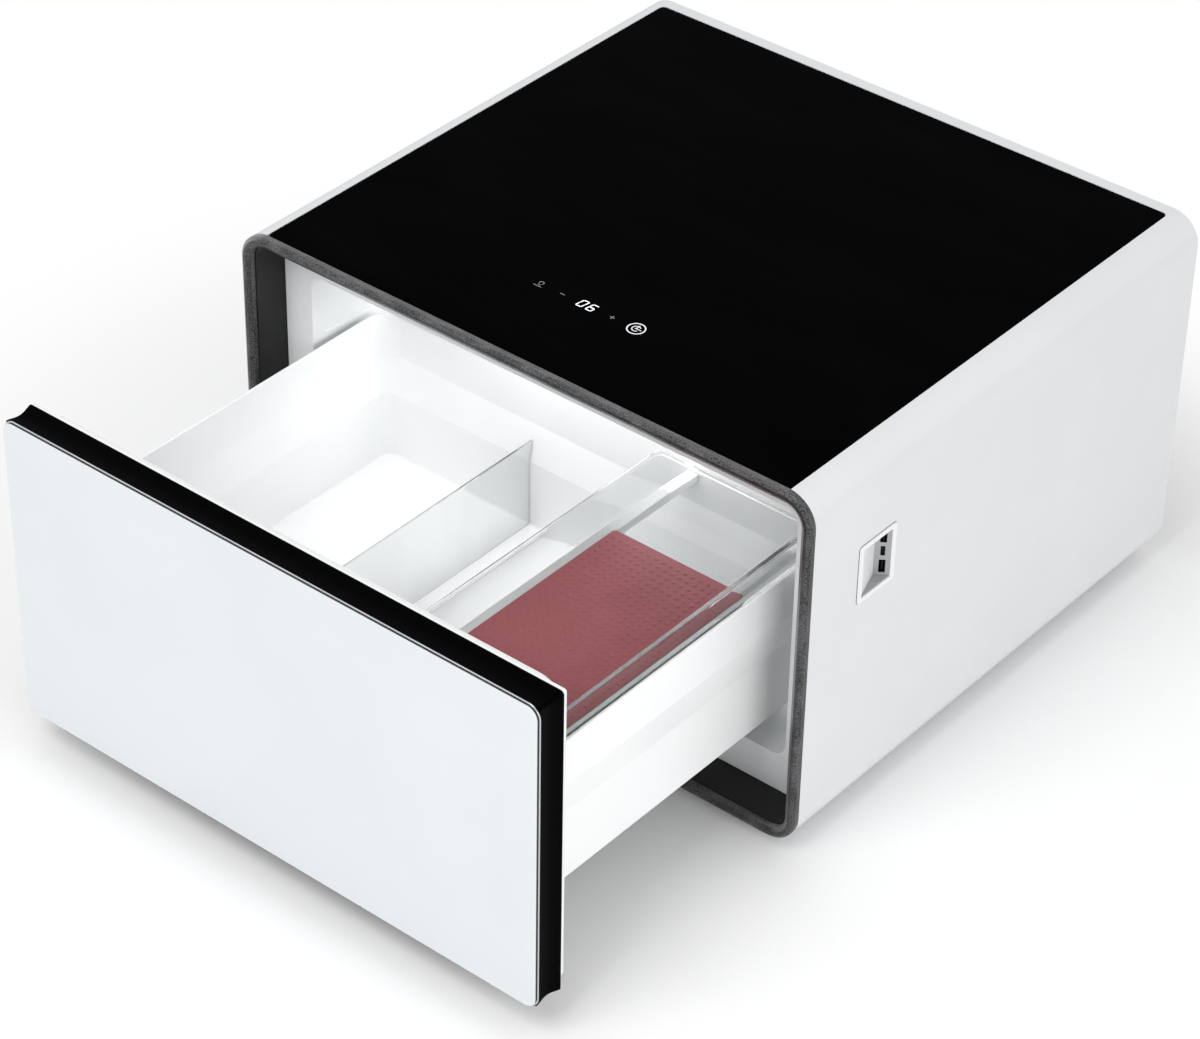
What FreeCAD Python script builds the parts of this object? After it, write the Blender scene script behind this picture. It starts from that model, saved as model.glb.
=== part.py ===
"""Refrigerator nightstand: a low bedside fridge with one deep cooling drawer.

The document is parametric.  Every size that can be set by itself is one cell of the sheet
"Sizes", in millimetres, and every sub-part is bound to those cells.

Frame: +Z up, +Y to the back, +X to the right as seen from the front.  The origin lies on the
floor, below the middle of the cabinet.  Local heights are counted from the cabinet's underside,
which stands on its feet.  The drawer is modelled pulled out by drawer_opening.
"""
import FreeCAD
import Part
import Sketcher
import math
import os

SIZES = [
    # cabinet
    ("width", 650, "outer width of the cabinet"),
    ("depth", "=flange_setback + cavity_depth + liner_wall + foam_rear + bay_depth", "outer depth"),
    ("body_height", 373, "underside to the top of the glass"),
    ("corner_radius", 30, "long rounded edges of the shell"),
    ("shell_wall", 4, "wall of the outer shell"),
    ("fit_gap", 0.3, "clearance between parts that are fitted together"),
    ("weld_depth", 1.5, "how deep joined shapes run into each other"),
    ("cut_margin", 1, "cuts run past a face by this"),
    ("head_ratio", 2, "screw head's radius to its shank's"),
    ("head_height", 2.4, "screw heads"),
    ("foot_height", 12, "height of the feet"),
    ("foot_radius", 18, "radius of the feet"),
    ("foot_inset", 62, "foot centre from the cabinet's sides"),
    ("foot_screw_radius", 2.5, "screw that holds a foot"),
    ("foot_bore", 6, "recess for the screw head"),
    ("foot_edge", 1.5, "rounded lower edge of a foot"),
    # front trim and recess
    ("trim_depth", 8, "depth of the front trim"),
    ("trim_border", 11, "width of the front trim"),
    ("trim_bevel", 0.8, "bevel on the trim's outer edge"),
    ("recess_step", 1, "recess surround stands inside the trim by this"),
    ("recess_radius", 19, "inner corner radius of the trim"),
    # glass top
    ("glass_thickness", 5, "glass top"),
    ("glass_side_margin", 28, "glass edge from the cabinet's side"),
    ("glass_rear_margin", 13, "glass edge from the cabinet's back"),
    ("glass_corner", 6, "corner radius of the glass top"),
    ("glass_bevel", 0.8, "bevel of the glass top"),
    ("deck_thickness", 3, "deck that carries the glass"),
    ("deck_overhang", 4, "deck beyond the glass edge"),
    # touch display and wireless charger
    ("display_y", 106, "display row from the front"),
    ("display_length", 150, "display board along X"),
    ("display_width", 26, "display board along Y"),
    ("board_thickness", 1.6, "printed circuit boards"),
    ("display_shift", 4, "display board left of the middle"),
    ("digits_x", 3, "digits left of the middle"),
    ("legend_thickness", 0.1, "lit legend, let into the glass"),
    ("digit_height", 11, "seven-segment digits"),
    ("digit_width", 6, "seven-segment digits"),
    ("segment_width", 1.1, "stroke of the legend"),
    ("digit_gap", 4, "space between the two digits"),
    ("icon_pitch", 28, "minus and plus from the digits' middle"),
    ("ring_x", 54, "power ring from the digits' middle"),
    ("ring_radius", 9.5, "power ring"),
    ("lamp_icon_x", 58, "lamp icon from the digits' middle, to the left"),
    ("icon_size", 7, "minus and plus"),
    ("coil_x", 9, "charging coil centre left of the middle"),
    ("coil_y", 214, "charging coil centre from the front"),
    ("coil_radius", 26, "charging coil"),
    ("coil_bore", 10, "hole in the charging coil"),
    ("coil_thickness", 2, "charging coil"),
    ("ferrite_radius", 30, "ferrite plate below the coil"),
    ("charger_gap", 4, "charger board from the ferrite plate"),
    ("charger_length", 60, "charger board"),
    ("charger_width", 40, "charger board"),
    # liner
    ("flange_setback", 45, "liner flange from the front"),
    ("flange_thickness", 2, "liner flange"),
    ("cavity_side", 45, "cavity from the cabinet's sides"),
    ("cavity_width", "=width - 2 * cavity_side", "cavity opening"),
    ("cavity_low", 52, "cavity floor"),
    ("cavity_drop", 53, "cavity ceiling below the cabinet's top"),
    ("cavity_high", "=body_height - cavity_drop", "cavity ceiling"),
    ("slide_rear", 3, "slide members from the cavity's rear wall"),
    ("cavity_depth", "=slide_front + slide_length + slide_rear", "cavity, flange to rear wall"),
    ("cavity_radius", 14, "cavity corner radius"),
    ("liner_wall", 3, "liner wall"),
    ("panel_recess", 1.2, "pressed side panel depth"),
    ("panel_drop", 12, "pressed side panel below the ceiling"),
    ("panel_height", 60, "pressed side panel"),
    ("panel_high", "=cavity_high - panel_drop", "pressed side panel, upper edge"),
    ("panel_low", "=panel_high - panel_height", "pressed side panel, lower edge"),
    ("panel_setback", 14, "pressed side panel from the flange"),
    ("panel_rear", 29, "pressed side panel from the rear wall"),
    ("panel_length", "=cavity_depth - panel_setback - panel_rear", "pressed side panel along Y"),
    ("panel_corner", 8, "pressed side panel"),
    ("foam_rear", 32, "rear insulation behind the liner"),
    # machine bay
    ("lip_width", 14, "rear lip of the shell"),
    ("lip_thickness", 3, "rear lip of the shell"),
    ("back_panel_thickness", 1.5, "rear panel"),
    ("back_setback", 4, "rear panel's outer face from the back edge"),
    ("rear_screw_radius", 2, "rear panel screws"),
    ("screw_reach", 4, "screw tips behind what they hold"),
    ("tray_thickness", 2, "steel plate below the machine bay"),
    ("vent_length", 90, "vent slot"),
    ("vent_height", 4, "vent slot"),
    ("vent_pitch", 9, "vent slots"),
    ("vent_count", 11, "vent slots in a column"),
    ("vent_low", 70, "lowest vent slot"),
    ("vent_x", 95, "vent column centres from the middle"),
    ("vent_flat", 0.2, "flat part of a slot's ends"),
    ("bay_depth", 95, "machine bay, insulation to the back edge"),
    ("bay_setback", 50, "centre line of the machine bay from the back edge"),
    ("bay_centre", "=depth - bay_setback", "centre line of the machine bay from the front"),
    ("compressor_radius", 40, "compressor shell"),
    ("compressor_length", 150, "compressor shell"),
    ("compressor_side", 100, "compressor centre from the cabinet's side"),
    ("compressor_x", "=width / 2 - compressor_side", "compressor centre"),
    ("dome_length", 32, "domed ends of the compressor"),
    ("foot_plate", 2, "compressor's foot plate"),
    ("stub_radius", 4, "compressor's tube stubs"),
    ("stub_height", 14, "tube stubs above the shell"),
    ("stub_spacing", 50, "tube stubs"),
    ("mount_height", 12, "compressor rubber mounts"),
    ("mount_radius", 9, "compressor rubber mounts"),
    ("mount_spacing_x", 110, "compressor rubber mounts"),
    ("mount_spacing_y", 56, "compressor rubber mounts"),
    ("condenser_tube", 2.5, "condenser tube radius"),
    ("condenser_length", 150, "condenser tube run"),
    ("condenser_pitch", 14, "condenser tube rows"),
    ("bend_flat", 0.3, "straight part of a condenser tube's loop"),
    ("condenser_rows", 7, "condenser tube rows"),
    ("condenser_spacing", 190, "condenser centre from the compressor's"),
    ("condenser_x", "=compressor_x - condenser_spacing", "condenser centre"),
    ("condenser_low", 22, "lowest tube row above the tray"),
    ("fin_thickness", 0.8, "condenser end plates"),
    ("fin_depth", 22, "condenser end plates along Y"),
    ("fin_count", 19, "condenser fins"),
    ("fin_inset", 4, "outer fins from the tube's ends"),
    ("fin_lift", 2, "fins above the evaporation tray"),
    ("fan_size", 80, "condenser fan frame"),
    ("fan_depth", 25, "condenser fan frame"),
    ("fan_corner", 4, "condenser fan frame"),
    ("fan_face", 2, "spindle's end behind the frame's face"),
    ("fan_spacing", 117, "fan centre from the condenser's"),
    ("fan_x", "=fan_spacing - condenser_x", "fan centre left of the middle"),
    ("fan_bore", 37.5, "fan duct radius"),
    ("fan_tip_gap", 1.5, "blade tip to duct"),
    ("hub_radius", 16, "fan hub"),
    ("spindle_radius", 3, "fan spindle"),
    ("running_gap", 0.05, "spindle in the hub"),
    ("blade_count", 7, "fan blades"),
    ("blade_pitch", 38, "fan blade angle in degrees"),
    ("blade_chord", 18, "fan blades"),
    ("blade_thickness", 1.6, "fan blades"),
    ("spoke_width", 4, "fan frame spokes"),
    ("spoke_thickness", 3, "fan frame spokes"),
    ("motor_thickness", 5, "fan motor cup on the spokes"),
    ("evaporator_width", 480, "evaporator plate"),
    ("evaporator_margin", 58, "evaporator plate shorter than the cavity is high"),
    ("evaporator_height", "=cavity_high - cavity_low - evaporator_margin", "evaporator plate"),
    ("evaporator_thickness", 1.5, "evaporator plate"),
    ("evaporator_low", 84, "evaporator plate's lower edge"),
    ("channel_width", 9, "raised refrigerant channel"),
    ("channel_depth", 3, "raised refrigerant channel"),
    ("channel_rows", 5, "raised refrigerant channels"),
    ("channel_margin", 14, "channel from the plate's edges"),
    ("line_radius", 3, "refrigerant lines"),
    ("line_bend", 9, "bends of the refrigerant lines"),
    ("line_high", 190, "where the lines enter the insulation"),
    ("drip_tray_height", 12, "evaporation tray"),
    ("drip_tray_wall", 1.5, "evaporation tray"),
    ("drip_tray_width", 44, "evaporation tray"),
    ("drip_tray_corner", 5, "evaporation tray"),
    ("box_length", 130, "control box along X"),
    ("box_depth", 70, "control box along Y"),
    ("box_height", 46, "control box"),
    ("box_wall", 2, "control box"),
    ("box_side", 28, "control box from the cabinet's side"),
    ("box_x", "=width / 2 - box_side - box_length / 2", "control box centre left of the middle"),
    ("post_inset", 8, "board posts from the box's sides"),
    ("post_radius", 2.5, "board posts"),
    ("post_height", 6, "board posts"),
    ("relay_height", 16, "relay on the board"),
    ("capacitor_height", 24, "capacitor on the board"),
    ("capacitor_radius", 11, "capacitor on the board"),
    ("inlet_width", 27.5, "power inlet opening"),
    ("inlet_height", 20, "power inlet opening"),
    ("inlet_wall", 2, "power inlet body"),
    ("inlet_depth", 22, "power inlet body"),
    ("inlet_flange", 4, "power inlet flange"),
    ("inlet_side", 93, "power inlet centre from the cabinet's side"),
    ("inlet_x", "=width / 2 - inlet_side", "power inlet centre left of the middle"),
    ("inlet_z", 110, "power inlet centre"),
    ("inlet_corner", 3, "power inlet corners"),
    ("blade_pin_width", 2, "power inlet pins"),
    ("pin_pitch", 7, "power inlet pins"),
    ("pin_rise", 4, "middle pin above the others"),
    ("pin_length", 14, "power inlet pins"),
    # lamp and sensor
    ("lamp_length", 120, "interior lamp"),
    ("lamp_width", 14, "interior lamp"),
    ("lamp_height", 3.5, "interior lamp"),
    ("lamp_corner", 6, "interior lamp"),
    ("lamp_y", 120, "interior lamp from the front"),
    ("sensor_radius", 4, "temperature sensor"),
    ("sensor_length", 9, "temperature sensor"),
    ("sensor_edge", 2, "rounded end of the sensor"),
    ("sensor_drop", 35, "temperature sensor below the ceiling"),
    ("sensor_z", "=cavity_high - sensor_drop", "temperature sensor"),
    # socket on the right side
    ("socket_y", 100, "socket centre from the front"),
    ("socket_z", 258, "socket centre"),
    ("socket_width", 53, "socket bezel"),
    ("socket_height", 61, "socket bezel"),
    ("socket_border", 6, "socket bezel border along Y"),
    ("socket_border_z", 5, "socket bezel border along Z"),
    ("socket_proud", 1.2, "socket bezel beyond the side"),
    ("socket_radius", 4, "socket bezel corner"),
    ("pocket_depth", 11.3, "socket pocket"),
    ("pocket_line", 32.5, "deepest line from the pocket's front edge"),
    ("cup_wall", 2, "socket cup"),
    ("socket_floor", 1, "floor of the port plate"),
    ("port_fit", 0.15, "port shell in its window"),
    ("port_depth", 9, "port shells"),
    ("port_wall", 0.5, "port shells"),
    ("port_sink", 0.4, "port mouth behind the plate's face"),
    ("port_tongue", 1.4, "tongue in a port"),
    ("usb_a_width", 4.6, "USB-A opening"),
    ("usb_a_height", 12.2, "USB-A opening"),
    ("usb_a_z", 242.8, "USB-A centre"),
    ("usb_c_width", 2.7, "USB-C opening"),
    ("usb_c_height", 8.6, "USB-C opening"),
    ("usb_c_z", 259, "USB-C centre"),
    ("usb_top_width", 4.6, "upper port opening"),
    ("usb_top_height", 10.4, "upper port opening"),
    ("usb_top_z", 273.8, "upper port centre"),
    ("port_line", 7.4, "port centres from the pocket's deepest line"),
    # slides
    ("slide_side", 62, "outer face of a slide bracket from the cavity's side"),
    ("slide_offset", "=cavity_width / 2 - slide_side", "outer face of a slide bracket from the middle"),
    ("slide_length", 400, "slide members"),
    ("slide_front", 10, "slide behind the liner flange when shut"),
    ("slide_low", 4, "cabinet member above the cavity floor"),
    ("slide_height", 28, "cabinet member"),
    ("slide_reach", 13, "cabinet member along X"),
    ("slide_steel", 1.5, "cabinet member's wall"),
    ("middle_steel", 1.2, "middle and drawer members' wall"),
    ("bracket_steel", 2, "slide brackets"),
    ("bracket_foot", 18, "slide bracket's foot"),
    ("hanger_flange", 22, "drawer hanger's flange"),
    ("hanger_length", 380, "drawer hanger"),
    ("web_step", 0.5, "drawer member's web beyond the cabinet member's flanges"),
    # drawer front
    ("drawer_opening", 317, "how far the drawer is pulled out"),
    ("front_side", 23, "drawer front from the cabinet's sides"),
    ("front_width", "=width - 2 * front_side", "drawer front"),
    ("front_low", 20, "drawer front's lower edge"),
    ("front_drop", 32, "drawer front's upper edge below the cabinet's top"),
    ("front_height", "=body_height - front_drop - front_low", "drawer front"),
    ("front_radius", 11, "drawer front glass corner"),
    ("front_glass", 3, "drawer front glass"),
    ("front_glass_inset", 2, "drawer front glass inside the front's outline"),
    ("front_bevel", 0.7, "drawer front glass bevel"),
    ("bead_thickness", 1.5, "bright bead behind the glass"),
    ("bead_inset", 0.5, "bead inside the front's outline"),
    ("bead_width", 14, "bright bead"),
    ("frame_depth", 28, "black frame"),
    ("frame_front_inset", 2, "black frame inside the outline, front"),
    ("frame_groove_inset", 5, "black frame inside the outline, finger groove"),
    ("frame_groove_setback", 17, "finger groove behind the frame's front"),
    ("frame_rear_inset", 1, "black frame inside the outline, rear"),
    ("frame_radius", 8, "black frame corner"),
    ("frame_wall", 12, "black frame"),
    ("frame_face", 3, "black frame's front web"),
    ("frame_core_radius", 5, "corners of the foam core"),
    ("inner_panel", 5, "white inner panel"),
    ("inner_panel_inset", 2, "inner panel inside the outline"),
    ("inner_panel_raise", 16, "inner panel above the outline's lower edge"),
    ("inner_panel_radius", 2.5, "inner panel corner"),
    ("gasket_gap", 0.3, "shut gasket to liner flange"),
    ("gasket_width", 12, "door gasket"),
    ("gasket_overlap", 2, "door gasket beyond the cavity edge"),
    # drawer tub
    ("tub_side", 10, "drawer tub from the cavity's sides"),
    ("tub_width", "=cavity_width - 2 * tub_side", "drawer tub, upper part"),
    ("tub_step", 8, "side step of the drawer tub"),
    ("tub_low", 88, "drawer tub's underside"),
    ("tub_step_low", 162, "side step, lower edge"),
    ("tub_step_high", 200, "side step, upper edge"),
    ("tub_high", 247, "drawer tub's rim"),
    ("tub_beyond", 12, "drawer tub longer than its slides"),
    ("tub_length", "=slide_length + tub_beyond", "drawer tub"),
    ("tub_wall", 3, "drawer tub"),
    ("tub_radius", 24, "drawer tub's rear corners"),
    ("tub_edge", 1.2, "rounding of the tub's rim"),
    ("rib_reach", 3, "divider ribs from the tub's walls"),
    ("rib_thickness", 2, "divider ribs"),
    ("rib_high", 170, "divider ribs' upper end"),
    ("tub_screw_radius", 2, "screws of the tub"),
    ("tub_screw_pitch", 150, "screws of the tub"),
    ("tub_screw_rows", 3, "screws of the tub on each side"),
    ("tub_screw_start", 40, "first screw from the hanger's front"),
    # bin and divider
    ("divider_x", 82, "divider left of the middle"),
    ("divider_thickness", 3, "divider"),
    ("divider_high", 184, "divider's upper edge"),
    ("bin_left", 92, "fruit bin's left side at its rim"),
    ("bin_side", 8, "fruit bin's right side from the tub's"),
    ("bin_right", "=tub_width / 2 - bin_side", "fruit bin's right side at its rim"),
    ("bin_front", 9, "fruit bin from the tub's front"),
    ("bin_rear", 40, "fruit bin from the tub's back"),
    ("bin_length", "=tub_length - bin_front - bin_rear", "fruit bin at its rim"),
    ("bin_high", 271, "fruit bin's rim"),
    ("bin_depth", 32.5, "fruit bin, inside"),
    ("bin_draft", 2, "fruit bin is narrower at its foot, each side"),
    ("bin_wall", 2.2, "fruit bin"),
    ("bin_radius", 9, "fruit bin corner"),
    ("bin_rim", 2.5, "fruit bin's rim beyond its wall"),
    ("bin_rim_height", 3, "fruit bin's rim"),
    ("bin_seat", 0.3, "fruit bin above its rails, divider above the tub's floor"),
    ("mat_thickness", 1.8, "mat in the fruit bin"),
    ("mat_front", 1, "mat from the bin's front wall"),
    ("mat_left", 14, "mat from the bin's left wall"),
    ("mat_right", 6, "mat from the bin's right wall"),
    ("mat_length", 276, "mat in the fruit bin"),
    ("mat_corner", 3, "mat's corners"),
    ("tray_rail_left", 98, "left rail below the fruit bin"),
    ("tray_rail_right", 244, "right rail's right side"),
    ("tray_rail_width", 12, "rails below the fruit bin"),
    ("tray_rail_height", 10, "rails below the fruit bin"),
]

# sheet of sizes


def make_sheet(document, rows):
    """Write the sizes into a spreadsheet, one alias to a row, and return it.

    A size that starts with = is worked out from the others.
    """
    sheet = document.addObject("Spreadsheet::Sheet", "Sizes")
    for row, (alias, value, note) in enumerate(rows, start=1):
        sheet.set(f"A{row}", alias)
        sheet.set(f"B{row}", str(value))
        sheet.setAlias(f"B{row}", alias)
        sheet.set(f"C{row}", note)
    document.recompute()
    return sheet


class Size:
    """A length that keeps its value together with the sheet expression it comes from."""

    def __init__(self, text, value):
        self.text = text
        self.value = float(value)

    @staticmethod
    def of(other):
        """Return other as a Size; a plain number stays a number in the expression."""
        return other if isinstance(other, Size) else Size(repr(float(other)), other)

    def _with(self, sign, other, value):
        return Size(f"({self.text} {sign} {Size.of(other).text})", value)

    def __add__(self, other):
        return self._with("+", other, self.value + Size.of(other).value)

    def __sub__(self, other):
        return self._with("-", other, self.value - Size.of(other).value)

    def __mul__(self, other):
        return self._with("*", other, self.value * Size.of(other).value)

    def __truediv__(self, other):
        return self._with("/", other, self.value / Size.of(other).value)

    def __radd__(self, other):
        return Size.of(other) + self

    def __rsub__(self, other):
        return Size.of(other) - self

    def __rmul__(self, other):
        return Size.of(other) * self

    def __neg__(self):
        return Size(f"(-1 * {self.text})", -self.value)

    def __float__(self):
        return self.value


class Sizes:
    """The sheet's cells as Size attributes, such as s.width."""

    def __init__(self, sheet, rows):
        for alias, _value, _note in rows:
            setattr(self, alias, Size(f"Sizes.{alias}", getattr(sheet, alias)))


DOC = FreeCAD.newDocument("refrigerator_nightstand")
s = Sizes(make_sheet(DOC, SIZES), SIZES)
ZERO = Size.of(0)
NODES = []
EDGE = 0.01

# planes a body can be grown from: origin plane, pad reversed, pocket reversed, offset sign
FRONT = ("XZ_Plane", True, False, -1)
TOP = ("XY_Plane", False, True, 1)
SIDE = ("YZ_Plane", False, True, 1)

# building helpers


def vector(x, y, z):
    """Return a FreeCAD vector of three sizes."""
    return FreeCAD.Vector(float(x), float(y), float(z))


def count(size):
    """Return a size that counts copies as a whole number."""
    return int(float(size))


def hypotenuse(a, b):
    """Return the length of the diagonal over two sizes."""
    return Size(f"sqrt({a.text} * {a.text} + {b.text} * {b.text})", math.hypot(float(a), float(b)))


def export(item):
    """Register an object as a node that is written to parts/, and return it."""
    NODES.append(item)
    return item


def bind(item, name, size):
    """Bind one property of an object to a size's expression."""
    item.setExpression(name, Size.of(size).text)


def place(item, x, y, z):
    """Bind an object's position."""
    for axis, size in zip("xyz", (x, y, z)):
        bind(item, f"Placement.Base.{axis}", size)


def at_front(y):
    """Return the Y of a place y behind the cabinet's front plane."""
    return y - s.depth / 2


def above_floor(z):
    """Return the Z of a height counted from the cabinet's underside."""
    return z + s.foot_height


class Piece:
    """A PartDesign body that is grown from sketches on its own origin planes."""

    def __init__(self, label, x=ZERO, y=ZERO, z=ZERO):
        """Start a body at x, y behind the front plane and z above the cabinet's underside."""
        self.body = DOC.addObject("PartDesign::Body", label)
        self.body.Label = label
        self.count = 0
        place(self.body, Size.of(x), at_front(Size.of(y)), above_floor(Size.of(z)))

    def _name(self, kind):
        self.count += 1
        return f"{self.body.Label}_{kind}_{self.count}"

    def sketch(self, plane, start, outlines):
        """Add a sketch on a plane, start along its axis, and draw each outline in it."""
        role, _pad_reversed, _pocket_reversed, sign = plane
        sketch = self.body.newObject("Sketcher::SketchObject", self._name("sketch"))
        base = next(item for item in self.body.Origin.OriginFeatures if item.Role == role)
        sketch.AttachmentSupport = (base, [""])
        sketch.MapMode = "FlatFace"
        bind(sketch, "AttachmentOffset.Base.z", Size.of(start) * sign)
        for outline in outlines:
            outline.draw(sketch)
        return sketch

    def pad(self, plane, start, length, *outlines):
        """Grow outlines along the plane's positive axis."""
        feature = self.body.newObject("PartDesign::Pad", self._name("pad"))
        feature.Profile = self.sketch(plane, start, outlines)
        feature.Reversed = plane[1]
        bind(feature, "Length", length)
        return self

    def pocket(self, plane, start, length, *outlines):
        """Cut outlines along the plane's positive axis."""
        feature = self.body.newObject("PartDesign::Pocket", self._name("pocket"))
        feature.Profile = self.sketch(plane, start, outlines)
        feature.Reversed = plane[2]
        bind(feature, "Length", length)
        return self

    def loft(self, plane, stations, cut=False):
        """Join outlines at several places along the plane's axis, straight from one to the next."""
        kind = "PartDesign::SubtractiveLoft" if cut else "PartDesign::AdditiveLoft"
        sketches = [self.sketch(plane, start, [outline]) for start, outline in stations]
        feature = self.body.newObject(kind, self._name("loft"))
        feature.Profile = sketches[0]
        feature.Sections = sketches[1:]
        feature.Ruled = True
        return self

    def round_edges(self, keep, size, bevel=False):
        """Round or bevel the edges whose bounding box keep() accepts, in the body's own frame."""
        DOC.recompute()
        base = self.body.Tip
        edges = enumerate(base.Shape.Edges, start=1)
        names = [f"Edge{index}" for index, edge in edges if keep(edge.BoundBox)]
        kind = "PartDesign::Chamfer" if bevel else "PartDesign::Fillet"
        feature = self.body.newObject(kind, self._name("edge"))
        feature.Base = (base, names)
        bind(feature, "Size" if bevel else "Radius", size)
        return self

    def repeat(self, axis, length, copies):
        """Repeat the last feature along an axis of its sketch."""
        DOC.recompute()
        last = self.body.Tip
        pattern = self.body.newObject("PartDesign::LinearPattern", self._name("pattern"))
        pattern.Originals = [last]
        pattern.Direction = (last.Profile[0], [axis])
        bind(pattern, "Length", length)
        bind(pattern, "Occurrences", copies)
        self.body.Tip = pattern
        return self

    def done(self):
        """Register the body as a node and return it."""
        return export(self.body)


class Rectangle:
    """A rectangle in a sketch, with its low and its high corners rounded as asked."""

    def __init__(self, left, right, low, high, radius=None, high_radius=None):
        self.bounds = [Size.of(size) for size in (left, right, low, high)]
        self.low_radius = None if radius is None else Size.of(radius)
        self.high_radius = self.low_radius if high_radius is None else Size.of(high_radius)

    @classmethod
    def centred(cls, width, low, high, radius=None, high_radius=None):
        """Return a rectangle that is symmetric about the sketch's vertical axis."""
        return cls(-(width / 2), width / 2, low, high, radius, high_radius)

    def draw(self, sketch):
        """Draw the outline and bind its sides and radii."""
        left, right, low, high = (float(size) for size in self.bounds)
        low_r = float(self.low_radius or 0)
        high_r = float(self.high_radius or 0)
        corners = [
            (right, low, -90, low_r, self.low_radius),
            (right, high, 0, high_r, self.high_radius),
            (left, high, 90, high_r, self.high_radius),
            (left, low, 180, low_r, self.low_radius),
        ]
        sides = [
            ((left + low_r, low), (right - low_r, low)),
            ((right, low + low_r), (right, high - high_r)),
            ((right - high_r, high), (left + high_r, high)),
            ((left, high - high_r), (left, low + low_r)),
        ]
        lines = [self._line(sketch, *side) for side in sides]
        for index, (x, y, angle, radius, size) in enumerate(corners):
            here, after = lines[index], lines[(index + 1) % 4]
            if not radius:
                sketch.addConstraint(Sketcher.Constraint("Coincident", here, 2, after, 1))
                continue
            centre_x = x - radius if index < 2 else x + radius
            centre_y = y + radius if index in (0, 3) else y - radius
            arc = self._arc(sketch, centre_x, centre_y, radius, angle)
            sketch.addConstraint(Sketcher.Constraint("Tangent", here, 2, arc, 1))
            sketch.addConstraint(Sketcher.Constraint("Tangent", arc, 2, after, 1))
            self._dimension(sketch, "Radius", (arc,), size)
        for line, kind in zip(lines, ("Horizontal", "Vertical", "Horizontal", "Vertical")):
            sketch.addConstraint(Sketcher.Constraint(kind, line))
        left, right, low, high = self.bounds
        self._dimension(sketch, "DistanceX", (-1, 1, lines[3], 1), left)
        self._dimension(sketch, "DistanceX", (-1, 1, lines[1], 1), right)
        self._dimension(sketch, "DistanceY", (-1, 1, lines[0], 1), low)
        self._dimension(sketch, "DistanceY", (-1, 1, lines[2], 1), high)

    @staticmethod
    def _line(sketch, start, end):
        return sketch.addGeometry(Part.LineSegment(vector(*start, 0), vector(*end, 0)))

    @staticmethod
    def _arc(sketch, x, y, radius, angle):
        circle = Part.Circle(vector(x, y, 0), vector(0, 0, 1), radius)
        start = math.radians(angle)
        return sketch.addGeometry(Part.ArcOfCircle(circle, start, start + math.pi / 2))

    @staticmethod
    def _dimension(sketch, kind, where, size):
        index = sketch.addConstraint(Sketcher.Constraint(kind, *where, float(size)))
        sketch.renameConstraint(index, f"size_{index}")
        bind(sketch, f"Constraints.size_{index}", size)


class Circle:
    """A circle in a sketch."""

    def __init__(self, x, y, radius):
        self.x, self.y, self.radius = (Size.of(size) for size in (x, y, radius))

    def draw(self, sketch):
        """Draw the circle and bind its centre and radius."""
        circle = Part.Circle(vector(self.x, self.y, 0), vector(0, 0, 1), float(self.radius))
        index = sketch.addGeometry(circle)
        Rectangle._dimension(sketch, "Radius", (index,), self.radius)
        Rectangle._dimension(sketch, "DistanceX", (-1, 1, index, 3), self.x)
        Rectangle._dimension(sketch, "DistanceY", (-1, 1, index, 3), self.y)


class Polygon:
    """A closed outline of straight sides in a sketch, each corner bound to its two sizes."""

    def __init__(self, *points):
        self.points = [(Size.of(x), Size.of(y)) for x, y in points]

    def draw(self, sketch):
        """Draw the sides and bind the corners."""
        ring = list(zip(self.points, self.points[1:] + self.points[:1]))
        lines = [
            Rectangle._line(sketch, tuple(map(float, start)), tuple(map(float, end)))
            for start, end in ring
        ]
        for here, after in zip(lines, lines[1:] + lines[:1]):
            sketch.addConstraint(Sketcher.Constraint("Coincident", here, 2, after, 1))
        for line, (x, y) in zip(lines, self.points):
            Rectangle._dimension(sketch, "DistanceX", (-1, 1, line, 1), x)
            Rectangle._dimension(sketch, "DistanceY", (-1, 1, line, 1), y)


class At:
    """Positions shared by several sub-parts, worked out once from the sizes."""

    inner_width = s.width - 2 * s.shell_wall
    inner_radius = s.corner_radius - s.shell_wall
    fitted_width = inner_width - 2 * s.fit_gap
    fitted_radius = inner_radius - s.fit_gap
    glass_low = s.body_height - s.glass_thickness
    legend_low = s.body_height - s.legend_thickness
    deck_low = glass_low - s.deck_thickness
    glass_front = s.trim_depth + s.fit_gap
    glass_rear = s.depth - s.glass_rear_margin
    glass_width = s.width - 2 * s.glass_side_margin
    panel_front = s.depth - s.back_setback - s.back_panel_thickness
    lip_front = panel_front - s.lip_thickness
    flange_rear = s.flange_setback + s.flange_thickness
    cavity_rear = s.flange_setback + s.cavity_depth
    liner_rear = cavity_rear + s.liner_wall
    foam_rear = liner_rear + s.foam_rear
    tray_top = s.shell_wall + s.tray_thickness
    drawer_y = -s.drawer_opening
    frame_y = s.front_glass + s.bead_thickness
    panel_y = frame_y + s.frame_depth
    tub_y = panel_y + s.inner_panel
    front_high = s.front_low + s.front_height
    bin_floor = s.bin_high - s.bin_depth
    bin_low = bin_floor - s.bin_wall
    recess_width = s.width - 2 * (s.trim_border + s.recess_step)
    recess_low = s.trim_border + s.recess_step
    recess_high = s.body_height - s.trim_border - s.recess_step
    slide_y = s.flange_setback + s.slide_front
    drawer_rail_x = s.slide_offset - s.bracket_steel - s.slide_reach - s.web_step
    tub_floor = s.tub_low + s.tub_wall
    pocket_front = s.socket_y - s.socket_width / 2 + s.socket_border
    pocket_rear = s.socket_y + s.socket_width / 2 - s.socket_border
    pocket_x = s.width / 2 - s.pocket_depth
    pocket_y = pocket_front + s.pocket_line


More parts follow.
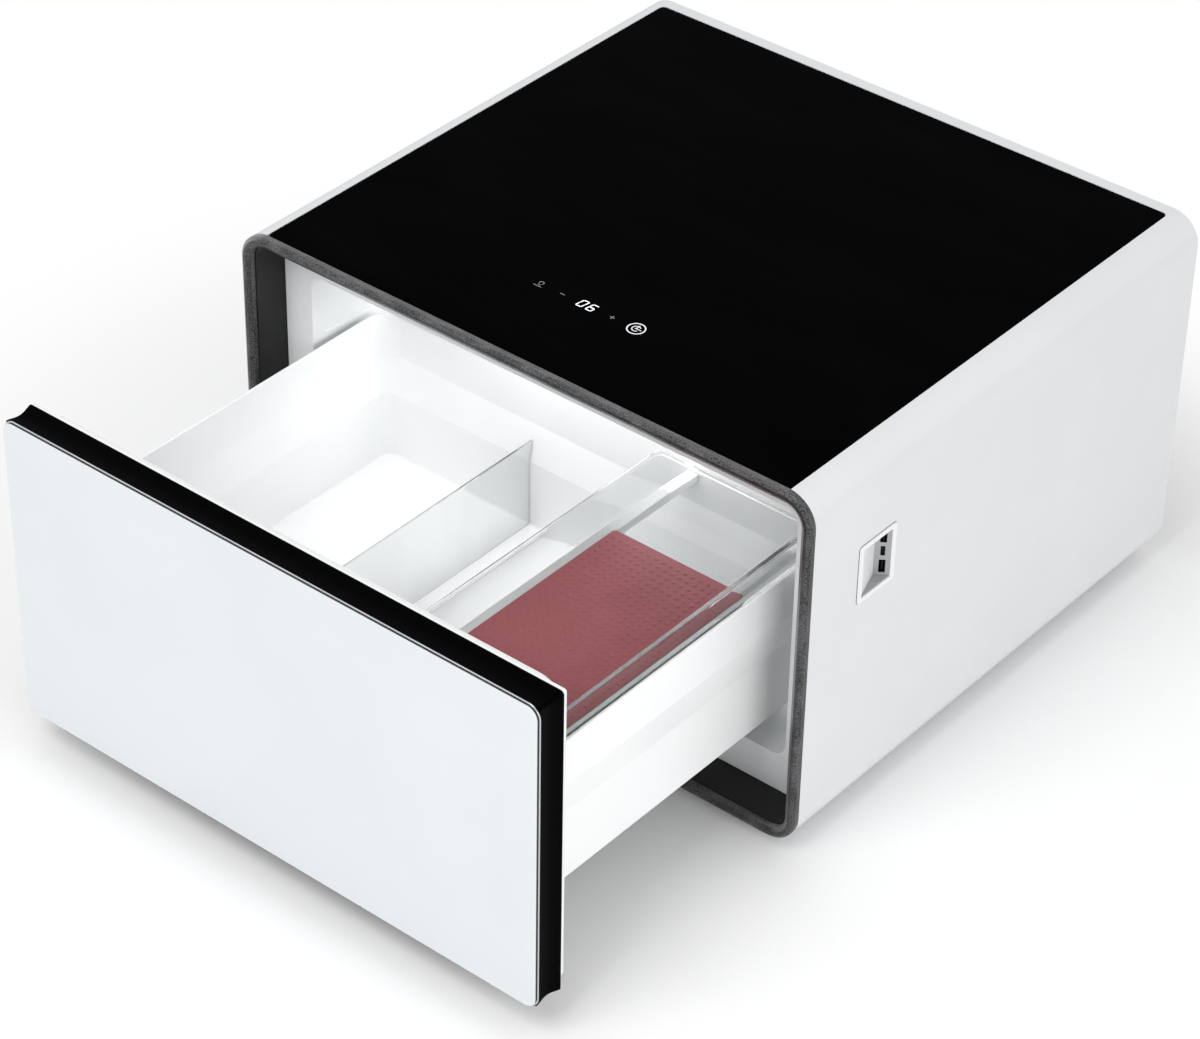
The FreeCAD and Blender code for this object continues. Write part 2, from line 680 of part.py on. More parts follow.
def part_object(kind, label, rotation=None):
    """Add a Part primitive or boolean with a Label, turned by rotation."""
    item = DOC.addObject(kind, label)
    item.Label = label
    if rotation:
        item.Placement = FreeCAD.Placement(FreeCAD.Vector(), rotation)
    return item


def block(label, x, y, z, length, width, height, rotation=None):
    """Add a Part::Box with its low corner at x, y behind the front and z above the underside."""
    item = part_object("Part::Box", label, rotation)
    for name, size in (("Length", length), ("Width", width), ("Height", height)):
        bind(item, name, size)
    place(item, Size.of(x), at_front(Size.of(y)), above_floor(Size.of(z)))
    return item


ALONG_X = FreeCAD.Rotation(FreeCAD.Vector(0, 1, 0), 90)
ALONG_Y = FreeCAD.Rotation(FreeCAD.Vector(1, 0, 0), -90)


def rod(label, x, y, z, radius, length, rotation=None):
    """Add a Part::Cylinder that starts at x, y behind the front and z above the underside."""
    item = part_object("Part::Cylinder", label, rotation)
    bind(item, "Radius", radius)
    bind(item, "Height", length)
    place(item, Size.of(x), at_front(Size.of(y)), above_floor(Size.of(z)))
    return item


def joined(label, items):
    """Fuse objects into one solid."""
    item = part_object("Part::MultiFuse", label)
    item.Shapes = items
    return item


def group(label, items):
    """Keep objects as separate solids of one node."""
    item = part_object("Part::Compound", label)
    item.Links = items
    return item


def cut_from(label, base, tool):
    """Cut a tool out of a base."""
    item = part_object("Part::Cut", label)
    item.Base = base
    item.Tool = tool
    return item


def solid_feature(label, shape, where=None):
    """Add a Part::Feature whose shape is built by code, and place it when told where."""
    item = DOC.addObject("Part::Feature", label)
    item.Label = label
    item.Shape = shape
    if where:
        place(item, *where)
    return item


def screw_up(label, x, y, seat, radius, length):
    """Return a screw that points up, its head below the seat."""
    shank = rod(f"{label}_shank", x, y, seat, radius, length)
    head = rod(f"{label}_head", x, y, seat - s.head_height, radius * s.head_ratio, s.head_height)
    return joined(label, [shank, head])


def screw_in(label, x, seat, z, radius, length):
    """Return a screw that points to the front, its head behind the seat."""
    shank = rod(f"{label}_shank", x, seat - length, z, radius, length, ALONG_Y)
    head = rod(f"{label}_head", x, seat, z, radius * s.head_ratio, s.head_height, ALONG_Y)
    return joined(label, [shank, head])


# cabinet


def rear_screw_places():
    """Return the places of the rear panel's screws, as X and height."""
    side = At.inner_width / 2 - s.lip_width / 2
    low = s.shell_wall + s.lip_width / 2
    high = s.body_height - s.shell_wall - s.lip_width / 2
    across = s.width / 3
    down = s.body_height / 4
    up = s.body_height * 3 / 4
    corners = [(-side, down), (side, down), (-side, up), (side, up)]
    return corners + [(-across, low), (across, low), (-across, high), (across, high)]


def foot_places():
    """Return the feet as name, X and distance behind the front."""
    side = s.width / 2 - s.foot_inset
    rear = s.depth - s.foot_inset
    return [
        ("foot_front_left", -side, s.foot_inset),
        ("foot_front_right", side, s.foot_inset),
        ("foot_rear_left", -side, rear),
        ("foot_rear_right", side, rear),
    ]


def build_shell():
    """White shell: a rounded tube with a seat for the glass, a rear lip and a socket window."""
    start = s.trim_depth
    length = s.depth - start
    high = s.body_height - s.shell_wall
    inside = Rectangle.centred(At.inner_width, s.shell_wall, high, At.inner_radius)
    mouth = Rectangle.centred(
        At.inner_width - 2 * s.lip_width,
        s.shell_wall + s.lip_width,
        high - s.lip_width,
        At.inner_radius - s.lip_width,
    )
    outside = Rectangle.centred(s.width, ZERO, s.body_height, s.corner_radius)
    seat = Rectangle.centred(
        At.glass_width + 2 * s.fit_gap,
        -s.cut_margin,
        At.glass_rear + s.fit_gap - start,
        None,
        s.glass_corner,
    )
    half_y = s.socket_width / 2 - s.socket_border + s.cup_wall + s.fit_gap
    half_z = s.socket_height / 2 - s.socket_border_z + s.cup_wall + s.fit_gap
    window_y = s.socket_y - start
    window = Rectangle(
        window_y - half_y, window_y + half_y, s.socket_z - half_z, s.socket_z + half_z
    )
    hole = s.foot_screw_radius + s.fit_gap
    piece = Piece("outer_shell", y=start)
    piece.pad(FRONT, ZERO, length, outside)
    piece.pocket(FRONT, ZERO, At.lip_front - start, inside)
    piece.pocket(FRONT, At.lip_front - start, s.lip_thickness, mouth)
    piece.pocket(FRONT, At.panel_front - start, s.depth - At.panel_front, inside)
    piece.pocket(TOP, At.glass_low, s.glass_thickness, seat)
    piece.pocket(SIDE, s.width / 2 - s.shell_wall - s.cut_margin, s.shell_wall + s.cut_margin, window)
    feet = [Circle(x, y - start, hole) for _name, x, y in foot_places()]
    piece.pocket(TOP, ZERO, s.shell_wall, *feet)
    holes = [Circle(x, z, s.rear_screw_radius + s.fit_gap) for x, z in rear_screw_places()]
    piece.pocket(FRONT, At.lip_front - start, s.lip_thickness, *holes)
    piece.done()


def build_trim():
    """Dark metal ring round the front opening."""
    piece = Piece("front_trim")
    border = s.trim_border
    piece.pad(FRONT, ZERO, s.trim_depth, Rectangle.centred(s.width, ZERO, s.body_height, s.corner_radius))
    piece.pocket(
        FRONT,
        ZERO,
        s.trim_depth,
        Rectangle.centred(s.width - 2 * border, border, s.body_height - border, s.recess_radius),
    )
    side = float(s.width) / 2
    top = float(s.body_height)

    def outer_edge(box):
        """Tell whether an edge is part of the ring's front outer corner."""
        reach = max(-box.XMin - side, box.XMax - side, -box.ZMin, box.ZMax - top)
        return box.YMax < EDGE and reach > -EDGE

    piece.round_edges(outer_edge, s.trim_bevel, bevel=True)
    piece.done()


def build_recess():
    """Black surround that lines the recess from the trim to the liner's flange."""
    length = At.flange_rear - s.trim_depth
    piece = Piece("recess_surround", y=s.trim_depth)
    low = s.shell_wall + s.fit_gap
    outside = Rectangle.centred(At.fitted_width, low, At.glass_low, At.fitted_radius)
    inside = Rectangle.centred(
        At.recess_width, At.recess_low, At.recess_high, s.recess_radius - s.recess_step
    )
    piece.pad(FRONT, ZERO, length, outside)
    piece.pocket(FRONT, ZERO, length, inside)
    piece.done()


def build_top():
    """Glass top, the deck that carries it, and what lies in the deck's windows."""
    glass = Piece("glass_plate")
    plan = Rectangle.centred(At.glass_width, At.glass_front, At.glass_rear, s.glass_corner)
    glass.pad(TOP, At.glass_low, s.glass_thickness, plan)
    top = float(s.body_height)
    glass.round_edges(lambda box: box.ZMin > top - EDGE, s.glass_bevel, bevel=True)
    export(cut_from("top_glass", glass.body, build_legend()))

    board_low = At.glass_low - s.board_thickness
    display = Rectangle(
        -(s.display_shift + s.display_length / 2),
        s.display_length / 2 - s.display_shift,
        s.display_y - s.display_width / 2,
        s.display_y + s.display_width / 2,
    )
    charger_right = -s.coil_x - s.ferrite_radius - s.charger_gap
    charger = Rectangle(
        charger_right - s.charger_length,
        charger_right,
        s.coil_y - s.charger_width / 2,
        s.coil_y + s.charger_width / 2,
    )
    deck = Piece("top_deck")
    deck_width = At.glass_width + 2 * s.deck_overhang
    plan = Rectangle.centred(deck_width, At.flange_rear + s.fit_gap, At.lip_front - s.fit_gap)
    deck.pad(TOP, At.deck_low, s.deck_thickness, plan)
    bore = s.ferrite_radius + s.fit_gap
    windows = [grown(display, s.fit_gap), grown(charger, s.fit_gap), Circle(-s.coil_x, s.coil_y, bore)]
    deck.pocket(TOP, At.deck_low, s.deck_thickness, *windows)
    deck.done()

    boards = []
    for name, outline in (("display_board", display), ("charger_board", charger)):
        board = Piece(name)
        board.pad(TOP, board_low, s.board_thickness, outline)
        boards.append(board.body)
    export(group("top_boards", boards))
    coil_low = At.glass_low - s.coil_thickness
    coil = Piece("coil_winding")
    coil.pad(TOP, coil_low, s.coil_thickness, Circle(-s.coil_x, s.coil_y, s.coil_radius))
    coil.pocket(TOP, coil_low, s.coil_thickness, Circle(-s.coil_x, s.coil_y, s.coil_bore))
    ferrite = Piece("ferrite_plate")
    ferrite.pad(TOP, At.deck_low, coil_low - At.deck_low, Circle(-s.coil_x, s.coil_y, s.ferrite_radius))
    export(group("charging_coil", [coil.body, ferrite.body]))


def grown(rectangle, gap):
    """Return a sharp-cornered rectangle that is larger by gap on every side."""
    left, right, low, high = rectangle.bounds
    return Rectangle(left - gap, right + gap, low - gap, high + gap)


def cavity_outline(margin):
    """Return the cavity's outline grown by margin."""
    return Rectangle.centred(
        s.cavity_width + 2 * margin,
        s.cavity_low - margin,
        s.cavity_high + margin,
        s.cavity_radius + margin,
    )


def build_liner():
    """White vacuum-formed liner: flange, cavity and a shallow pressed panel on each side."""
    start = s.flange_setback
    piece = Piece("inner_liner", y=start)
    gap = s.fit_gap
    flange = Rectangle.centred(
        At.recess_width - 2 * gap,
        At.recess_low + gap,
        At.recess_high - gap,
        s.recess_radius - s.recess_step - gap,
    )
    wall = s.liner_wall
    panel = Rectangle(
        s.panel_setback, s.panel_setback + s.panel_length, s.panel_low, s.panel_high, s.panel_corner
    )
    piece.pad(FRONT, ZERO, s.flange_thickness, flange)
    piece.pad(FRONT, ZERO, s.cavity_depth + wall, cavity_outline(wall))
    piece.pocket(FRONT, ZERO, s.cavity_depth, cavity_outline(ZERO))
    for side in (-s.cavity_width / 2 - s.panel_recess, s.cavity_width / 2):
        piece.pocket(SIDE, side, s.panel_recess, panel)
    piece.done()


def build_foam():
    """Foamed-in-place insulation between the liner and the shell."""
    start = At.flange_rear
    piece = Piece("insulation_foam", y=start)
    low = s.shell_wall + s.fit_gap
    outside = Rectangle.centred(At.fitted_width, low, At.deck_low, At.fitted_radius)
    plate = Rectangle.centred(
        s.evaporator_width + 2 * s.fit_gap,
        s.evaporator_low - s.fit_gap,
        s.evaporator_low + s.evaporator_height + s.fit_gap,
    )
    socket = Rectangle(
        s.socket_y - s.socket_width / 2 - start,
        s.socket_y + s.socket_width / 2 + s.port_depth - start,
        s.socket_z - s.socket_height / 2,
        s.socket_z + s.socket_height / 2,
    )
    socket_deep = s.pocket_depth + 2 * s.cup_wall + s.port_depth
    piece.pad(FRONT, ZERO, At.foam_rear - start, outside)
    piece.pocket(FRONT, ZERO, At.liner_rear - start, cavity_outline(s.liner_wall))
    behind = s.evaporator_thickness + s.channel_depth + s.fit_gap
    piece.pocket(FRONT, At.liner_rear - start, behind, plate)
    piece.pocket(SIDE, s.width / 2 - socket_deep, socket_deep, socket)
    piece.done()


def build_back():
    """Rear panel with two columns of vent slots, a window for the inlet, and its screws."""
    gap = s.fit_gap
    piece = Piece("back_panel", y=At.panel_front)
    outline = Rectangle.centred(
        At.fitted_width, s.shell_wall + gap, s.body_height - s.shell_wall - gap, At.fitted_radius
    )
    piece.pad(FRONT, ZERO, s.back_panel_thickness, outline)
    inlet = inlet_outline(s.inlet_wall + gap)
    holes = [Circle(x, z, s.rear_screw_radius + gap) for x, z in rear_screw_places()]
    piece.pocket(FRONT, ZERO, s.back_panel_thickness, inlet, *holes)
    round_end = s.vent_height / 2 - s.vent_flat
    slots = [
        Rectangle(
            middle - s.vent_length / 2,
            middle + s.vent_length / 2,
            s.vent_low,
            s.vent_low + s.vent_height,
            round_end,
        )
        for middle in (-s.vent_x, s.vent_x)
    ]
    piece.pocket(FRONT, ZERO, s.back_panel_thickness, *slots)
    piece.repeat("V_Axis", s.vent_pitch * (s.vent_count - 1), s.vent_count)
    piece.done()

    outer = At.panel_front + s.back_panel_thickness
    reach = s.back_panel_thickness + s.lip_thickness + s.screw_reach
    screws = []
    for index, (x, z) in enumerate(rear_screw_places(), start=1):
        name = f"rear_screw_{index}"
        screws.append(screw_in(name, x, outer, z, s.rear_screw_radius, reach))
    export(group("rear_screws", screws))


def inlet_outline(margin):
    """Return the power inlet's outline in the rear panel, grown by margin."""
    half_x = s.inlet_width / 2 + margin
    half_z = s.inlet_height / 2 + margin
    return Rectangle(
        -s.inlet_x - half_x, half_x - s.inlet_x, s.inlet_z - half_z, s.inlet_z + half_z, s.inlet_corner
    )


def build_feet():
    """Four rubber feet and the screws that hold them."""
    screws = []
    wide = float(s.foot_radius)
    for name, x, y in foot_places():
        foot = Piece(name, x, y, -s.foot_height)
        foot.pad(TOP, ZERO, s.foot_height, Circle(ZERO, ZERO, s.foot_radius))
        foot.pocket(TOP, ZERO, s.foot_height / 2, Circle(ZERO, ZERO, s.foot_bore))
        hole = Circle(ZERO, ZERO, s.foot_screw_radius + s.fit_gap)
        foot.pocket(TOP, s.foot_height / 2, s.foot_height / 2, hole)
        foot.round_edges(lambda box: box.ZMax < EDGE and box.XLength > wide, s.foot_edge)
        foot.done()
        length = s.foot_height / 2 + s.shell_wall
        screws.append(screw_up(f"{name}_screw", x, y, -(s.foot_height / 2), s.foot_screw_radius, length))
    export(group("foot_screws", screws))


# machine bay


def build_compressor():
    """Compressor on its foot plate, with rubber mounts on the bay's tray."""
    low = At.tray_top + s.mount_height
    middle = low + s.foot_plate + s.compressor_radius - s.weld_depth
    barrel_length = s.compressor_length - 2 * s.dome_length
    x = s.compressor_x - barrel_length / 2
    barrel = rod("compressor_barrel", x, s.bay_centre, middle, s.compressor_radius, barrel_length, ALONG_X)
    domes = []
    for name, place_x in (("left", x), ("right", x + barrel_length)):
        dome = part_object("Part::Ellipsoid", f"compressor_dome_{name}", ALONG_X)
        bind(dome, "Radius1", s.dome_length)
        bind(dome, "Radius2", s.compressor_radius)
        bind(dome, "Radius3", s.compressor_radius)
        place(dome, place_x, at_front(s.bay_centre), above_floor(middle))
        domes.append(dome)
    margin = 2 * s.mount_radius
    plate = block(
        "compressor_plate",
        s.compressor_x - (s.mount_spacing_x + margin) / 2,
        s.bay_centre - (s.mount_spacing_y + margin) / 2,
        low,
        s.mount_spacing_x + margin,
        s.mount_spacing_y + margin,
        s.foot_plate,
    )
    stubs = [
        rod(f"compressor_stub_{name}", place_x, s.bay_centre, middle, s.stub_radius, stub_length())
        for name, place_x in (("left", discharge_x()), ("right", suction_x()))
    ]
    export(joined("compressor", [barrel, plate, *domes, *stubs]))
    mounts = []
    for index, (side, back) in enumerate(((-1, -1), (-1, 1), (1, -1), (1, 1)), start=1):
        mount_x = s.compressor_x + side * s.mount_spacing_x / 2
        mount_y = s.bay_centre + back * s.mount_spacing_y / 2
        mounts.append(
            rod(f"mount_{index}", mount_x, mount_y, At.tray_top, s.mount_radius, s.mount_height)
        )
    export(group("compressor_mounts", mounts))
    tray = Piece("machine_tray")
    plan = Rectangle.centred(s.width - 2 * s.corner_radius, At.foam_rear + s.fit_gap, At.lip_front)
    tray.pad(TOP, s.shell_wall, s.tray_thickness, plan).done()


def discharge_x():
    """Return the X of the compressor's discharge stub."""
    return s.compressor_x - s.stub_spacing / 2


def suction_x():
    """Return the X of the compressor's suction stub."""
    return s.compressor_x + s.stub_spacing / 2


def stub_length():
    """Return how far a stub reaches above the compressor's axis."""
    return s.compressor_radius + s.stub_height


def stub_top():
    """Return the height of the stubs' upper ends."""
    low = At.tray_top + s.mount_height
    return low + s.foot_plate + s.compressor_radius - s.weld_depth + stub_length()


def condenser_row(index):
    """Return the height of one condenser tube run."""
    return At.tray_top + s.condenser_low + index * s.condenser_pitch


def tube_shape(points, radius, bend):
    """Return a tube along straight runs joined by tangent arcs, from the part's frame."""
    corners = [vector(x, at_front(Size.of(y)), above_floor(Size.of(z))) for x, y, z in points]
    edges = []
    here = corners[0]
    for before, corner, after in zip(corners, corners[1:], corners[2:]):
        back = (before - corner).normalize()
        ahead = (after - corner).normalize()
        half = back.getAngle(ahead) / 2
        reach = float(bend) / math.tan(half)
        middle = corner + (back + ahead).normalize() * (float(bend) / math.sin(half) - float(bend))
        start, end = corner + back * reach, corner + ahead * reach
        edges.append(Part.makeLine(here, start))
        edges.append(Part.Arc(start, middle, end).toShape())
        here = end
    edges.append(Part.makeLine(here, corners[-1]))
    path = Part.Wire(edges)
    normal = corners[1] - corners[0]
    section = Part.Wire(Part.makeCircle(float(radius), corners[0], normal))
    return path.makePipeShell([section], True, False)


def build_condenser():
    """Finned serpentine condenser, its drip tray, and the refrigerant lines."""
    left = s.condenser_x - s.condenser_length / 2
    right = s.condenser_x + s.condenser_length / 2
    rows = count(s.condenser_rows)
    loop = s.condenser_pitch / 2
    points = [(left, s.bay_centre, condenser_row(0))]
    for index in range(rows - 1):
        turn = right + loop if index % 2 == 0 else left - loop
        points.append((turn, s.bay_centre, condenser_row(index)))
        points.append((turn, s.bay_centre, condenser_row(index + 1)))
    points.append((right, s.bay_centre, condenser_row(rows - 1)))
    tube = tube_shape(points, s.condenser_tube, loop - s.bend_flat)
    fin_count = count(s.fin_count)
    inset = float(s.fin_inset)
    step = (float(s.condenser_length) - 2 * inset) / (fin_count - 1)
    fins = []
    for index in range(fin_count):
        foot = index in (0, fin_count - 1)
        low = At.tray_top if foot else At.tray_top + s.drip_tray_height + s.fin_lift
        high = condenser_row(rows - 1) + s.condenser_pitch / 2
        corner = vector(
            float(left) + inset + index * step - float(s.fin_thickness) / 2,
            at_front(s.bay_centre - s.fin_depth / 2),
            above_floor(low),
        )
        size = (float(s.fin_thickness), float(s.fin_depth), float(high) - float(low))
        fins.append(Part.makeBox(*size, corner))
    export(solid_feature("condenser_coil", tube.fuse(fins)))

    half = s.condenser_length / 2 - s.fin_inset - s.fin_thickness
    plan = Rectangle(
        s.condenser_x - half + s.fit_gap,
        s.condenser_x + half - s.fit_gap,
        s.bay_centre - s.drip_tray_width / 2,
        s.bay_centre + s.drip_tray_width / 2,
        s.drip_tray_corner,
    )
    tray = Piece("evaporation_tray")
    tray.pad(TOP, At.tray_top, s.drip_tray_height, plan)
    wall = s.drip_tray_wall
    hollow = Rectangle(
        s.condenser_x - half + s.fit_gap + wall,
        s.condenser_x + half - s.fit_gap - wall,
        s.bay_centre - s.drip_tray_width / 2 + wall,
        s.bay_centre + s.drip_tray_width / 2 - wall,
        s.drip_tray_corner - wall,
    )
    tray.pocket(TOP, At.tray_top + wall, s.drip_tray_height - wall, hollow)
    tray.done()

    top = stub_top()
    bend = s.line_bend
    drop_x = right + 2 * s.line_bend + s.line_radius
    over = top + 2 * s.line_bend
    discharge = [
        (discharge_x(), s.bay_centre, top),
        (discharge_x(), s.bay_centre, over),
        (drop_x, s.bay_centre, over),
        (drop_x, s.bay_centre, condenser_row(rows - 1)),
        (right, s.bay_centre, condenser_row(rows - 1)),
    ]
    suction = [
        (suction_x(), s.bay_centre, top),
        (suction_x(), s.bay_centre, s.line_high),
        (suction_x(), At.foam_rear, s.line_high),
    ]
    liquid_x = left - s.condenser_pitch
    liquid = [
        (left, s.bay_centre, condenser_row(0)),
        (liquid_x, s.bay_centre, condenser_row(0)),
        (liquid_x, s.bay_centre, s.line_high),
        (liquid_x, At.foam_rear, s.line_high),
    ]
    lines = [tube_shape(points, s.line_radius, bend) for points in (discharge, suction)]
    lines.append(tube_shape(liquid, s.condenser_tube, bend))
    export(solid_feature("refrigerant_lines", Part.makeCompound(lines)))


def build_fan():
    """Condenser fan: a square frame with spokes and spindle, and the rotor that turns on it."""
    half = s.fan_size / 2
    frame = Piece("fan_frame", -s.fan_x - s.fan_depth / 2, s.bay_centre, At.tray_top)
    frame.pad(SIDE, ZERO, s.fan_depth, Rectangle.centred(s.fan_size, ZERO, s.fan_size, s.fan_corner))
    frame.pocket(SIDE, ZERO, s.fan_depth, Circle(ZERO, half, s.fan_bore))
    arm = s.spoke_width / 2
    reach = s.fan_bore + s.weld_depth
    frame.pad(SIDE, ZERO, s.spoke_thickness, Rectangle(-arm, arm, half - reach, half + reach))
    frame.pad(SIDE, ZERO, s.spoke_thickness, Rectangle(-reach, reach, half - arm, half + arm))
    frame.pad(SIDE, ZERO, s.motor_thickness, Circle(ZERO, half, s.hub_radius))
    spindle = s.fan_depth - s.motor_thickness - s.fan_face
    frame.pad(SIDE, s.motor_thickness, spindle, Circle(ZERO, half, s.spindle_radius))
    frame.done()

    length = float(spindle) - float(s.fit_gap)
    axis = FreeCAD.Vector(1, 0, 0)
    origin = FreeCAD.Vector()
    hub = Part.makeCylinder(float(s.hub_radius), length, origin, axis)
    bore = Part.makeCylinder(float(s.spindle_radius + s.running_gap), length, origin, axis)
    tip = float(s.fan_bore - s.fan_tip_gap)
    chord = float(s.blade_chord)
    thick = float(s.blade_thickness)
    blades = []
    blade_count = count(s.blade_count)
    for index in range(blade_count):
        root = float(s.hub_radius - s.weld_depth)
        blade = Part.makeBox(thick, chord, tip - root, FreeCAD.Vector(-thick / 2, -chord / 2, root))
        blade.rotate(origin, FreeCAD.Vector(0, 0, 1), 90 - float(s.blade_pitch))
        blade.translate(axis * (length / 2))
        blade.rotate(origin, axis, 360 * index / blade_count)
        blades.append(blade)
    shape = hub.fuse(blades).cut(bore)
    start = s.motor_thickness + s.fit_gap - s.fan_x - s.fan_depth / 2
    where = (start, at_front(s.bay_centre), above_floor(At.tray_top + half))
    export(solid_feature("fan_rotor", shape, where))


def build_evaporator():
    """Roll-bond evaporator: a plate behind the liner with a raised serpentine channel."""
    left = -s.evaporator_width / 2
    plate = block(
        "evaporator_sheet",
        left,
        At.liner_rear,
        s.evaporator_low,
        s.evaporator_width,
        s.evaporator_thickness,
        s.evaporator_height,
    )
    rows = count(s.channel_rows)
    margin = s.channel_margin
    pitch = (s.evaporator_height - 2 * margin - s.channel_width) / (rows - 1)
    run = s.evaporator_width - 2 * margin
    back = At.liner_rear + s.evaporator_thickness - s.weld_depth / 2
    deep = s.channel_depth + s.weld_depth / 2
    bars = []
    for index in range(rows):
        z = s.evaporator_low + margin + pitch * index
        name = f"channel_row_{index + 1}"
        bars.append(block(name, left + margin, back, z, run, deep, s.channel_width))
        if index < rows - 1:
            x = left + margin + (run - s.channel_width if index % 2 == 0 else ZERO)
            height = pitch + s.channel_width
            bars.append(block(f"channel_turn_{index + 1}", x, back, z, s.channel_width, deep, height))
    export(joined("evaporator_plate", [plate, *bars]))


def build_control():
    """Control board in its open box, and the power inlet in the rear panel."""
    wall = s.box_wall
    half_x = s.box_length / 2
    half_y = s.box_depth / 2
    box = Piece("control_box", -s.box_x, s.bay_centre, At.tray_top)
    box.pad(TOP, ZERO, s.box_height, Rectangle(-half_x, half_x, -half_y, half_y, wall))
    inside = Rectangle(wall - half_x, half_x - wall, wall - half_y, half_y - wall)
    box.pocket(TOP, wall, s.box_height - wall, inside)
    post_x = half_x - s.post_inset
    post_y = half_y - s.post_inset
    posts = [Circle(x * post_x, y * post_y, s.post_radius) for x in (-1, 1) for y in (-1, 1)]
    box.pad(TOP, wall, s.post_height, *posts)
    box.done()
    board = Piece("control_board", -s.box_x, s.bay_centre, At.tray_top)
    low = wall + s.post_height
    edge = wall + s.post_radius
    outline = Rectangle(edge - half_x, half_x - edge, edge - half_y, half_y - edge)
    board.pad(TOP, low, s.board_thickness, outline)
    high = low + s.board_thickness
    relay = Rectangle(s.post_radius, half_x - s.post_inset, ZERO, half_y - s.post_inset)
    capacitor = Circle(-half_x / 2, ZERO, s.capacitor_radius)
    board.pad(TOP, high, s.relay_height, relay)
    board.pad(TOP, high, s.capacitor_height, capacitor)
    board.done()

    outer = At.panel_front + s.back_panel_thickness
    inlet = Piece("power_inlet", y=outer - s.inlet_depth)
    body = inlet_outline(s.inlet_wall)
    inlet.pad(FRONT, ZERO, s.inlet_depth, body)
    inlet.pad(FRONT, s.inlet_depth, s.inlet_wall, inlet_outline(s.inlet_wall + s.inlet_flange))
    depth = s.inlet_depth
    inlet.pocket(FRONT, s.inlet_wall, depth, inlet_outline(ZERO))
    half = s.blade_pin_width / 2
    pins = []
    for x, z in ((-s.pin_pitch, ZERO), (ZERO, s.pin_rise), (s.pin_pitch, ZERO)):
        middle_x = x - s.inlet_x
        middle_z = s.inlet_z - s.pin_rise / 2 + z
        pins.append(Rectangle(middle_x - half, middle_x + half, middle_z - 2 * half, middle_z + 2 * half))
    inlet.pad(FRONT, s.inlet_wall, s.pin_length, *pins)
    inlet.done()


def build_cavity_fittings():
    """Interior lamp below the ceiling and temperature sensor on the rear wall."""
    lamp = Piece("interior_lamp", y=s.lamp_y)
    plan = Rectangle.centred(s.lamp_length, ZERO, s.lamp_width, s.lamp_corner)
    lamp.pad(TOP, s.cavity_high - s.lamp_height, s.lamp_height, plan)
    lamp.done()
    sensor = Piece("temperature_sensor", y=At.cavity_rear - s.sensor_length)
    sensor.pad(FRONT, ZERO, s.sensor_length, Circle(ZERO, s.sensor_z, s.sensor_radius))
    sensor.round_edges(lambda box: box.YMax < EDGE, s.sensor_edge)
    sensor.done()

# side socket


def socket_point(along, inward):
    """Return a sketch point on the port plate: along its face, then square to it into the cabinet."""
    run_x = s.pocket_depth
    run_y = At.pocket_rear - At.pocket_y
    length = hypotenuse(run_x, run_y)
    x = At.pocket_x + along * run_x / length - inward * run_y / length
    y = At.pocket_y + along * run_y / length + inward * run_x / length
    return x, y


def socket_bar(middle, half_width, near, far):
    """Return the outline of a bar that stands square to the port plate."""
    low, high = middle - half_width, middle + half_width
    return Polygon(
        socket_point(low, near), socket_point(high, near), socket_point(high, far), socket_point(low, far)
    )


def build_socket():
    """Bezel, wedge-shaped cup, sloping port plate, three ports and their board."""
    side = s.width / 2
    wall = s.cup_wall
    front = At.pocket_front
    rear = At.pocket_rear
    low = s.socket_z - s.socket_height / 2 + s.socket_border_z
    high = s.socket_z + s.socket_height / 2 - s.socket_border_z
    bezel = Piece("socket_bezel")
    outline = Rectangle(
        s.socket_y - s.socket_width / 2,
        s.socket_y + s.socket_width / 2,
        s.socket_z - s.socket_height / 2,
        s.socket_z + s.socket_height / 2,
        s.socket_radius,
    )
    bezel.pad(SIDE, side, s.socket_proud, outline)
    bezel.pocket(SIDE, side, s.socket_proud, Rectangle(front, rear, low, high))
    bezel.done()

    deep_x, deep_y = At.pocket_x, At.pocket_y
    cup = Piece("socket_cup")
    outer = Polygon(
        (side, front - wall),
        (side, rear + wall),
        (deep_x, deep_y + wall),
        (deep_x - wall, deep_y + wall),
        (deep_x - wall, deep_y),
    )
    cup.pad(TOP, low - wall, high - low + 2 * wall, outer)
    inner = Polygon((side, front), (side, rear + wall), (deep_x, deep_y + wall), (deep_x, deep_y))
    cup.pocket(TOP, low, high - low, inner)
    cup.done()

    plate = Piece("port_plate")
    slope = Polygon((deep_x, deep_y), (side, rear), (side, rear + wall), (deep_x, deep_y + wall))
    plate.pad(TOP, low, high - low, slope)
    plate.pad(TOP, low, s.socket_floor, Polygon((side, front), (side, rear), (deep_x, deep_y)))
    ports = [
        ("usb_a_port", s.usb_a_width, s.usb_a_height, s.usb_a_z),
        ("usb_c_port", s.usb_c_width, s.usb_c_height, s.usb_c_z),
        ("usb_top_port", s.usb_top_width, s.usb_top_height, s.usb_top_z),
    ]
    gap = s.port_fit
    for _name, width, height, z in ports:
        half_z = height / 2 + s.port_wall + gap
        hole = socket_bar(s.port_line, width / 2 + s.port_wall + gap, -gap, 2 * wall)
        plate.pocket(TOP, z - half_z, 2 * half_z, hole)
    plate.done()
    for name, width, height, z in ports:
        build_port(name, width, height, z)
    board = Piece("socket_board")
    back = s.port_sink + s.port_depth
    half = s.socket_height / 2 - s.socket_border_z - wall
    outline = socket_bar(s.port_line, s.port_line - wall, back, back + s.board_thickness)
    board.pad(TOP, s.socket_z - half, 2 * half, outline)
    board.done()


